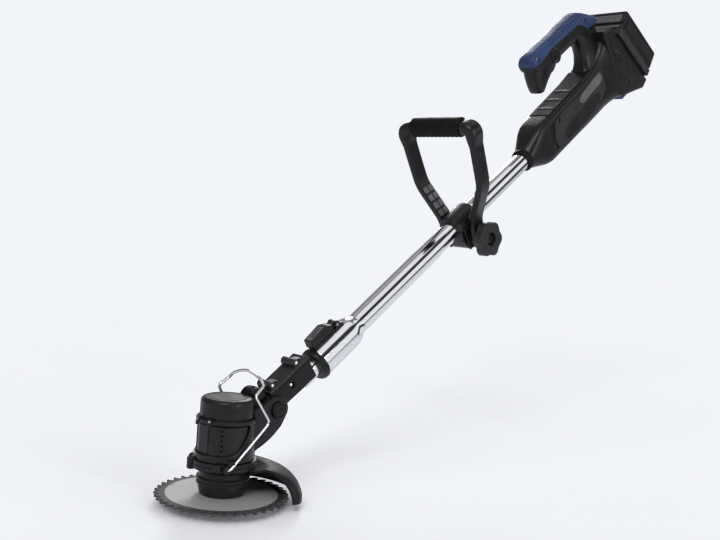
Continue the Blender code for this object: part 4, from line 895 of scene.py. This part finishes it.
def make_clamp():
    """Upper and lower halves round the tube, and a toothed ring on each side."""
    profile = [
        (TUBE_BORE, 382), (18.6, 382), (19.6, 382.7), (20, 383.8), (20, 423), (19.4, 424.4), (18.4, 425),
        (TUBE_BORE, 425),
    ]
    upper = lathe("clamp_saddle", profile, ALONG_X, steps=FINE)
    for side in (-1, 1):
        low, high = span(side, 15.5, 19.0)
        cheek = box("cheek", (388, low, -34), (422, high, 6))
        soften(cheek, 1.2)
        join(upper, cheek)
    cut(upper, rod("tube_space", TUBE_BORE, 377, 430, ALONG_X, steps=FINE))
    cut(upper, box("lower_space", (377, -15.5, -60), (430, 15.5, 0)))
    for side in (-1, 1):
        low, high = span(side, 14.5, 40)
        cut(upper, box("front_trim", (377, low, -60), (388, high, 0)))
        cut(upper, box("rear_trim", (422, low, -60), (430, high, 0)))
    cut(upper, pin("bolt_hole", BOLT_BORE, -40, 40, BOLT, 32))
    fit(upper, "clamp", BLACK, "clamp_upper")
    outline = [
        (384, -0.3), (384, -18), (387, -30), (393, -36.6), (412, -37), (420, -30), (423, -20), (423, -0.3)
    ]
    lower = plate("clamp_foot", rounded(outline, 5, 4), -15.2, 15.2)
    soften(lower, 2.0, 4, 50)
    cut(lower, rod("tube_space", TUBE_BORE, 377, 430, ALONG_X, steps=FINE))
    cut(lower, pin("bolt_hole", BOLT_BORE, -40, 40, BOLT, 32))
    fit(lower, "clamp", BLACK, "clamp_lower")
    for word, side in SIDES:
        rows = []
        steps = 60
        for step in range(steps):
            a = 2 * math.pi * step / steps
            outer = side * (21.5 if step % 2 else 20.9)
            ring = [(3.3, side * 19.3), (13.0, side * 19.3), (13.0, outer), (6.0, outer), (3.3, side * 21.3)]
            rows.append([(BOLT[0] + r * math.sin(a), y, BOLT[1] + r * math.cos(a)) for r, y in ring])
        washer = grid(f"serrated_ring_{word}", rows, closed_rows=True)
        node = f"tooth_washer_{word}"
        fit(washer, "clamp", BLACK, node, sharp=20)


def loop_place(x, y, z):
    """Loop plane coordinates (along its normal, across, up) in the shaft frame."""
    lean = LOOP_LEAN - SHAFT_ANGLE
    return (
        BOLT[0] - z * math.sin(lean) + x * math.cos(lean),
        y,
        BOLT[1] + z * math.cos(lean) + x * math.sin(lean),
    )


def make_loop():
    """One bent bar: flat arms that swell through rounded corners into an oval grip."""
    foot, corner, top = 26.6, 58.5, 164.0
    half = [(foot, -4), (foot, 28), (54, 80), (57.0, 128), (corner, top)]
    path = half + [(-a, u) for a, u in reversed(half)]
    path = fillet(path, 11, 9)
    fine = []
    for first, second in zip(path, path[1:]):
        pieces = max(1, int((Vector(second) - Vector(first)).length / 5))
        for i in range(pieces):
            fine.append(tuple(Vector(first).lerp(Vector(second), i / pieces)))
    fine.append(path[-1])
    points = [loop_place(0, a, u) for a, u in fine]

    def section(index):
        across, up = fine[index]
        swell = eased(limited((up - 138) / 18))
        grip = limited((46 - abs(across)) / 4) if up > 150 else 0.0
        half_wide = 11.0 + 1.6 * swell
        half_thick = 4.6 + 4.4 * swell
        return ellipse(half_thick, half_wide - 2.8 * grip, 7 - 4 * swell, 36)

    normal = Vector(loop_place(1, 0, 0)) - Vector(loop_place(0, 0, 0))
    loop = sweep("loop_bar", points, section, normal)
    for side in (-1, 1):
        join(loop, pin("hub", 12.4, *span(side, 22.3, 30.9), BOLT, 64, 0.8))
    cut(loop, pin("bolt_hole", BOLT_BORE, -60, 60, BOLT, 32))
    fit(loop, "loop", BLACK, "loop_handle", sharp=35)

    rows = []
    half_length, ribs, turns = 42.3, 12, 72
    steps = ribs * 10
    for step in range(steps + 1):
        across = -half_length + 2 * half_length * step / steps
        wave = 0.5 - 0.5 * math.cos(2 * math.pi * ribs * step / steps)
        end = min(1.0, min(step, steps - step) / 3)
        row = []
        for turn in range(turns):
            a = 2 * math.pi * turn / turns
            smooth_top = limited((math.sin(a) - 0.55) / 0.2)
            rib = (1 - smooth_top) * (wave**0.7)
            radius = 11.8 + 1.6 * end * rib + smooth_top * 1.6 * end
            row.append(loop_place(radius * math.cos(a) * 0.98, across, top + radius * math.sin(a)))
        rows.append(row)
    sleeve = grid("grip_ribs", rows, capped=True)
    fit(sleeve, "loop", RUBBER, "grip_sleeve", sharp=50)

    pads = []
    slope = math.atan2(54 - foot, 52)
    lean = Matrix.Rotation(-(LOOP_LEAN - SHAFT_ANGLE), 4, "Y")
    base = Matrix.Translation(Vector((BOLT[0], 0, BOLT[1])) * MM) @ lean
    for side, row_number, column in product((-1, 1), range(4), (-1, 1)):
        t = 0.16 + 0.215 * row_number
        a = foot + (54 - foot) * t
        u = 28 + 52 * t
        pad = box("pad", (column * 5.2 - 4.2, -1.0, -4.7), (column * 5.2 + 4.2, 1.0, 4.7))
        soften(pad, 0.5, 2)
        tilt = Matrix.Rotation(-side * slope, 4, "X")
        spot = Vector((0, side * (a - 4.9 * math.cos(slope)), u + 4.9 * math.sin(slope)))
        pad.data.transform(base @ Matrix.Translation(spot * MM) @ tilt)
        pads.append(pad)
    place(bundle("loop_pads", pads), "loop", LIGHT_GREY, SHAFT)


def make_knob():
    """Six-lobed knob with a dished face, a collar and three webs round the bolt."""
    face, turns = -31.4, 144
    outline = []
    for step in range(turns):
        a = 2 * math.pi * step / turns
        radius = 25.0 - 3.2 * (0.5 - 0.5 * math.cos(6 * a)) ** 1.2
        outline.append((BOLT[0] + radius * math.sin(a), BOLT[1] + radius * math.cos(a)))
    knob = plate("knob_body", outline, face - 16, face - 3)
    soften(knob, 1.3, 3, 50)
    centre = (BOLT[0], 0, BOLT[1])
    join(knob, pin("collar", 9, face - 6, face, BOLT, 48, 0.5))
    cut(knob, pin("well", 9.6, face - 20, face - 6, BOLT, 64))
    profile = [(3.4, face - 12.5), (5.6, face - 12.5), (6, face - 12), (6, face - 4), (3.4, face - 4)]
    join(knob, lathe("hub", profile, ALONG_Y, centre, 48))
    cut(knob, pin("bolt_hole", BOLT_BORE, face - 40, face + 5, BOLT, 32))
    for number in range(3):
        bar = box("web", (-9.8, face - 10, -0.7), (-5.6, face - 5, 0.7))
        join(knob, turned(bar, 120 * number + 20, "Y", centre))
    fit(knob, "knob", GREY, "clamp_knob")
    profile = [(3.4, face - 8.6), (9.5, face - 8.6), (9.5, face - 6.05), (3.4, face - 6.05)]
    place(lathe("knob_core", profile, ALONG_Y, centre, 48), "knob", BLACK, SHAFT)


# ---------------------------------------------------------------- rear housing


def loft(name, rows, along, steps=72):
    """Superellipse sections (station, low, high, half width, power) along the shaft or upwards."""
    found = []
    for station, low, high, wide, power in rows:
        middle = (low + high) / 2
        ring = ellipse(wide, (high - low) / 2, power, steps)
        if along == "shaft":
            found.append([(station, y, middle + other) for y, other in ring])
        else:
            found.append([(middle + other, y, station) for y, other in ring])
    return grid(name, found, capped=True)


def barrel():
    """The housing's body: a round collar that becomes a rounded box and flares into the dock."""
    rows = [
        (578, -16.2, 16.2, 16.2, 2.0), (579.2, -17.5, 17.5, 17.5, 2.0), (586, -19.6, 21.0, 18.8, 2.3),
        (596, -23.0, 27.0, 20.9, 3.2), (604, -25.9, 31.1, 22.4, 4.2), (612, -27.4, 34.4, 23.4, 5.2),
        (620, -27.8, 36.6, 24.0, 6.0), (640, -27.5, 38.2, 24.0, 6.2), (690, -27.0, 40.0, 24.0, 6.2),
        (735, -27.0, 42.2, 24.0, 6.2), (770, -27.0, 46.6, 24.0, 5.6), (790, -27.2, 52.0, 24.4, 5.0),
        (806, -28.0, 62.0, 26.0, 4.6), (818, -29.0, 76.0, 28.6, 4.6), (828, -30.5, 86.0, 31.2, 4.8),
        (836, -32.5, 84.0, 32.7, 5.2), (844, -34.0, 70.0, 32.9, 5.6),
    ]
    return loft("barrel", rows, "shaft", 96)


def grip_form(name, more=0.0):
    """The hooked grip with its cover: column, beam and drooping front."""
    beam_rows = [
        (645.6, 112, 123, 12.0, 2.6), (647.0, 107, 127.6, 14.6, 2.8), (651.4, 103, 130.8, 16.4, 3.0),
        (662, 99, 132.8, 17.0, 3.1), (700, 96.2, 134.0, 17.0, 3.1), (735, 97.6, 135.4, 17.0, 3.1),
        (768, 98.6, 136.8, 17.0, 3.1), (784, 99, 137.2, 17.0, 3.1), (794, 99, 135.8, 17.0, 3.1),
        (804, 99, 131.2, 17.0, 3.0), (815, 99, 124.6, 16.8, 3.0), (826, 99.8, 117.2, 16.4, 2.8),
        (832, 101.4, 112.4, 15.0, 2.6), (834, 103.6, 109.2, 12.6, 2.4),
    ]
    grown = [(s, low - more, high + more, wide + more, power) for s, low, high, wide, power in beam_rows]
    form = loft(name, grown, "shaft")
    if more:
        return form
    column_rows = [
        (30, 752, 838, 22.6, 4.0), (42, 764, 837, 20.4, 3.4), (48, 770, 836, 18.6, 3.0),
        (56, 776, 835, 17.2, 2.6), (68, 780.6, 835, 16.6, 2.4), (80, 781.4, 834.4, 16.4, 2.4),
        (90, 778, 834, 16.5, 2.5), (97, 772, 833.6, 16.7, 2.7), (102, 765, 832, 16.8, 2.9),
        (108, 758, 826, 16.6, 3.0),
    ]
    join(form, loft("column", column_rows, "up"))
    droop_rows = [
        (70.4, 651.6, 656.8, 8.6, 2.4), (71.6, 649.6, 660.0, 11.2, 2.6), (75, 648.0, 664.0, 12.8, 2.8),
        (82, 646.8, 674.0, 14.4, 3.0), (89, 646.2, 688.0, 15.6, 3.1), (95, 646.0, 698.0, 16.2, 3.2),
        (102, 646.2, 708.0, 16.6, 3.2), (110, 647.0, 714.0, 16.6, 3.1), (118, 649.0, 714.0, 16.4, 3.0),
    ]
    join(form, loft("droop", droop_rows, "up"))
    return form


def cover_region(drop=0.0):
    """Side view of everything the coloured cover takes from the grip."""
    under = [
        (620, 113.6), (645, 114.8), (676, 118.6), (690, 122.4), (712, 122.6), (779, 122.8), (791, 113.9),
        (804.5, 100.9), (823, 102.9), (850, 97.4),
    ]
    corner = [(850, 160), (620, 160)]
    return [(x, h - drop) for x, h in fillet(under, 4, 4)] + corner


def make_housing():
    """Both halves: grip, body and battery cradle, with the vent emboss and the button's ring."""
    for word, side in SIDES:
        node = f"housing_{word}"
        shell = grip_form(f"housing_shell_{word}")
        cut(shell, plate("cover_space", cover_region(0.35), -40, 40))
        join(shell, barrel())
        cradle_side = [
            (830, -28), (868, -37.6), (894, -45.6), dock(127, -0.3), dock(-17, -0.3), (816, 92), (822, 40)
        ]
        cradle = plate("cradle", cradle_side, -33, 33)
        soften(cradle, 4.0, 4, 60)
        join(shell, cradle)
        cut(shell, rod("tube_bore", TUBE_BORE, 573, 650.3, ALONG_X, steps=96))
        cut(shell, box("trigger_slot", (661, -6.6, 70), (717.5, 6.6, 108)))
        cut(shell, box("latch_slot", (861.4, -9.6, -60), (880.6, 9.6, -30)))
        if side < 0:
            for at, wide in ((BODY_SCREWS[0], 24), (BODY_SCREWS[1], 24), (DOCK_SCREW, 33)):
                cut(shell, pin("screw_hole", HOUSING_SCREW_HOLE, -50, -wide + 8, at, 32))
            cut(shell, pin("button_hole", 8.0, -30, 0, LOCK_OFF, 48))
        low, high = span(side, 0.15, 100)
        keep(shell, box("half", (500, low, -100), (1000, high, 200)))
        fit(shell, "rear", BLACK, node, sharp=38)
        leaf = [(832, 70), (846, 40), (851, 26), (851, 16), (843, 24), (834, 40), (829, 56)]
        vent = plate("vent_frame", rounded(leaf, 3, 4), *span(side, 32.6, 33.7))
        hollow = rounded(resized(leaf, (840, 42), 0.84), 2.5, 4)
        cut(vent, plate("vent_hollow", hollow, *span(side, 30, 40)))
        tip_outline = [(835, 57), (847, 41), (848, 37), (838, 46), (832, 50)]
        tip = plate("vent_tip", tip_outline, *span(side, 32.6, 33.5))
        place(bundle(f"vent_{word}", [vent, tip]), "rear", GREY, SHAFT)
    profile = [
        (8.1, -16.2), (10.6, -16.2), (11.4, -17.0), (11.4, -17.7), (10.9, -18.1), (8.9, -18.1), (8.1, -17.4),
    ]
    ring = lathe("button_ring", profile, ALONG_Y, (LOCK_OFF[0], 0, LOCK_OFF[1]), 72)
    place(ring, "rear", GREY, SHAFT)


def crescent(station, side):
    """Outline of one crescent seen from above, which narrows and sweeps forward outwards."""
    steps = 10
    rear, front = [], []
    for step in range(steps + 1):
        t = step / steps
        y = side * (0.8 + 14.5 * t)
        wide = 2.6 * (1 - t) ** 0.8 + 0.25
        rear.append((station + wide - 2.2 * t, y))
        front.append((station - wide - 2.2 * t, y))
    return rear + front[::-1]


def make_overmould():
    """Soft panel on top of the body with three pairs of raised crescents."""
    outline = [(642, 37.2), (735, 41.4), (771, 45.5), (769, 47.5), (735, 43.3), (642, 39.1)]
    panel = plate("top_panel", outline, -17.5, 17.5)
    soften(panel, 0.8)
    place(panel, "rear", RUBBER, SHAFT)
    marks = []
    for station, side in product((664, 690, 716), (-1, 1)):
        base = 38.6 + (station - 642) * 0.0452
        outline = crescent(station, side)
        rings = [[(x, y, base + level + (x - station) * 0.045) for x, y in outline] for level in (-0.6, 1.3)]
        mark = prism("mark", *rings)
        soften(mark, 0.35, 2, 50)
        marks.append(mark)
    place(bundle("top_crescents", marks), "rear", LIGHT_GREY, SHAFT)


def make_trims():
    """Raised side panel with a slanted inlay above and a long sunken panel below; the raised panel's grey is
    painted sheen.
    """
    outer = [
        (632, 1), (643, 27), (668, 31), (722, 31), (792, 41), (803, 30), (800, 4), (760, -12), (668, -20),
        (640, -19),
    ]
    inlay = [(722, 28.5), (790, 38), (796, 28), (792, 20), (724, 13.5), (714, 21)]
    panel = [(664, -15), (656, -5), (668, 4), (712, 9), (764, 13.5), (778, 8), (776, -4), (752, -11)]
    for word, side in SIDES:
        node = f"side_trim_{word}"
        trim = plate(f"side_panel_{word}", rounded(outer, 5, 4), *span(side, 22.6, 25.1))
        cut(trim, plate("inlay_well", rounded(inlay, 1.5, 3), *span(side, 24.5, 30)))
        cut(trim, plate("panel_well", rounded(panel, 4, 4), *span(side, 24.5, 30)))
        for at in BODY_SCREWS:
            cut(trim, pin("screw_hole", HOUSING_SCREW_HOLE, -50, 50, at, 32))
        soften(trim, 0.3, 2, 50)
        # Painted sheen: the raised panel gets dark grey, a lighter copy of the black body, to stand in for
        # light reflected off it.
        fit(trim, "rear", GREY, node)
        small = rounded(resized(inlay, (757, 26), 0.93), 1.2, 3)
        chip = plate(f"side_inlay_{word}", small, *span(side, 24.45, 25.1))
        soften(chip, 0.25, 2, 50)
        place(chip, "rear", LIGHT_GREY, SHAFT)
        small = rounded(resized(panel, (715, -2), 0.985), 4, 4)
        floor = plate(f"side_floor_{word}", small, *span(side, 24.3, 24.62))
        place(floor, "rear", BLACK, SHAFT)


def make_collar():
    profile = [
        (13.8, 569.7), (15.6, 569.7), (16.4, 570.2), (17.3, 572.2), (17.5, 573), (17.5, 577.2),
        (17.2, 577.7), (13.8, 577.7),
    ]
    fit(lathe("tube_collar_ring", profile, ALONG_X, steps=96), "rear", RUBBER, "tube_collar")


def make_cover():
    """Coloured cap over the grip, with finger ribs across its rear half."""
    cover = grip_form("grip_cap", 0.25)
    keep(cover, plate("region", cover_region(), -40, 40))
    for at in COVER_SCREWS:
        cut(cover, pin("screw_hole", HOUSING_SCREW_HOLE, -40, -5, at, 32))
        cut(cover, pin("screw_dish", 4.6, -40, -15.6, at, 32))
    for number in range(8):
        s = 736 + 8.6 * number
        top = 137.0 if s < 784 else 137.0 - 0.016 * (s - 784) ** 2
        groove = lathe(
            "groove", [(15.9, -0.3), (30, -1.1), (30, 1.1), (15.9, 0.3)], ALONG_X, (s, 0, top - 17.2), 64
        )
        keep(groove, box("upper", (s - 5, -20, top - 12), (s + 5, 20, top + 5)))
        cut(cover, groove)
    fit(cover, "rear", BLUE, "grip_cover", sharp=38)


def make_screws():
    """Cross-head screws: place in the shaft frame and half width of the housing there."""
    places = zip((*BODY_SCREWS, DOCK_SCREW, *COVER_SCREWS), (24, 24, 33, 17, 17))
    for number, ((s, h), half) in enumerate(places, 1):
        node = f"housing_screw_{number}"
        head = pin(f"screw_head_{number}", 3.0, -half + 1.6, -half + 4.5, (s, h), 32, 0.5)
        for turn in (20, 110):
            bar = box("slot", (-2.1, -half - 1, -0.42), (2.1, -half + 2.9, 0.42))
            cut(head, turned(bar, turn, "Y", (s, 0, h)))
        fit(head, "rear", STEEL, node)


def make_controls():
    """Trigger, lock-off button and the battery's release tab."""
    outline = [
        (665, 96), (664, 87), (668, 83), (700, 83.5), (709, 88), (715, 94), (716, 103), (704, 104.5),
        (672, 104), (666, 101),
    ]
    trigger = plate("trigger_blade", rounded(outline, 2, 4), -6, 6)
    soften(trigger, 1.6, 4, 50)
    fit(trigger, "trigger", GREY, "trigger")
    profile = [
        (0.02, -20), (2.4, -20), (2.7, -19.4), (4.8, -19.4), (5.1, -20), (6.4, -19.8), (7.3, -19),
        (7.5, -18.2), (7.5, -11.5), (0.02, -11.5),
    ]
    button = lathe("lock_off_cap", profile, ALONG_Y, (LOCK_OFF[0], 0, LOCK_OFF[1]), 64)
    fit(button, "lock_off", SOFT_BLACK, "lock_off_button")
    latch = box("release_tab", (862, -9, -50), (880, 9, -34))
    soften(latch, 2.4, 4)
    for number in range(4):
        s = 865 + 3.4 * number
        cut(latch, box("groove", (s - 0.5, -6.5, -51), (s + 0.5, 6.5, -49.3)))
    fit(latch, "release", BLUE, "release_button")


def make_battery():
    """Battery base with its channel, and the case with an embossed frame on each side."""
    half, depth, length = 37.0, 46.0, 118.0
    base = plate("pack_base", rounded(dock_box(0, length, 0.3, 12), 1.5, 3), -half, half)
    soften(base, 2.2, 4, 50)
    cut(base, plate("channel", dock_box(-20, 66, -5, 9), -13, 13))
    for number in range(3):
        a = 16 + 6 * number
        cut(base, plate("rail_gap", dock_box(a, a + 2, -5, 3), -30, 30))
    fit(base, "battery", GREY, "battery_base")
    case = plate("pack_case", rounded(dock_box(0, length, 12.3, depth), 5, 5), -half, half)
    soften(case, 4.0, 5, 50)
    for side in (-1, 1):
        border = rounded(dock_box(9, length - 9, 18.5, depth - 6), 3, 4)
        emboss = plate("emboss", border, *span(side, half - 0.7, half + 3))
        land = rounded(dock_box(10.6, length - 10.6, 20, depth - 7.6), 2.4, 4)
        cut(emboss, plate("land", land, *span(side, half - 2, half + 4)))
        cut(case, emboss)
    cut(case, plate("end_groove", dock_box(-2, 1.2, 19, 22.5), -half - 2, half + 2))
    fit(case, "battery", BLACK, "battery_case", sharp=38)
    end = plate("pack_end_plate", dock_box(-0.5, 0.4, 24.5, 38), -half + 6, half - 6)
    soften(end, 0.25, 2)
    place(end, "battery", LIGHT_GREY, SHAFT)
    rail = plate("pack_end_rail", rounded(dock_box(-0.8, 0.6, 13.2, 17.6), 0.4, 2), -half + 5, half - 5)
    place(rail, "battery", LIGHT_GREY, SHAFT)


def finish_hidden():
    """CAD pieces that keep their shape get their finish here."""
    steel = ["motor_spindle", "blade_flange", "clamp_washer", "blade_bolt", "lower_bearing"]
    steel += ["upper_bearing", "motor_can", "hinge_bolt", "lever_pin"]
    looks = {name: STEEL for name in steel}
    looks.update({"armature": COPPER, "terminal_block": COPPER, "power_switch": GREY, "clamp_bolt": BLACK})
    looks.update({f"battery_cell_{number}": CELL for number in range(1, 6)})
    for name, look in looks.items():
        for material_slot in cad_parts[name].material_slots:
            material_slot.material = look


bpy.context.scene.view_settings.view_transform = "Standard"
make_camera()
make_world()
make_floor()
area_light("key", (-1.6, -1.2, 2.2), (0.3, 0, 0.3), (1.2, 0.8), 26)
area_light("side", (0.4, -2.4, 0.9), (0.3, 0, 0.3), (0.35, 1.8), 12)
area_light("rim", (1.8, 1.6, 1.6), (0.3, 0, 0.4), (0.6, 1.4), 22)
make_disc()
make_nose()
make_motor()
make_casing()
make_cap()
make_guard()
make_bail()
make_arm()
make_tilt_button()
make_shaft()
make_lever()
make_clamp()
make_loop()
make_knob()
make_housing()
make_overmould()
make_trims()
make_collar()
make_cover()
make_screws()
make_controls()
make_battery()
finish_hidden()
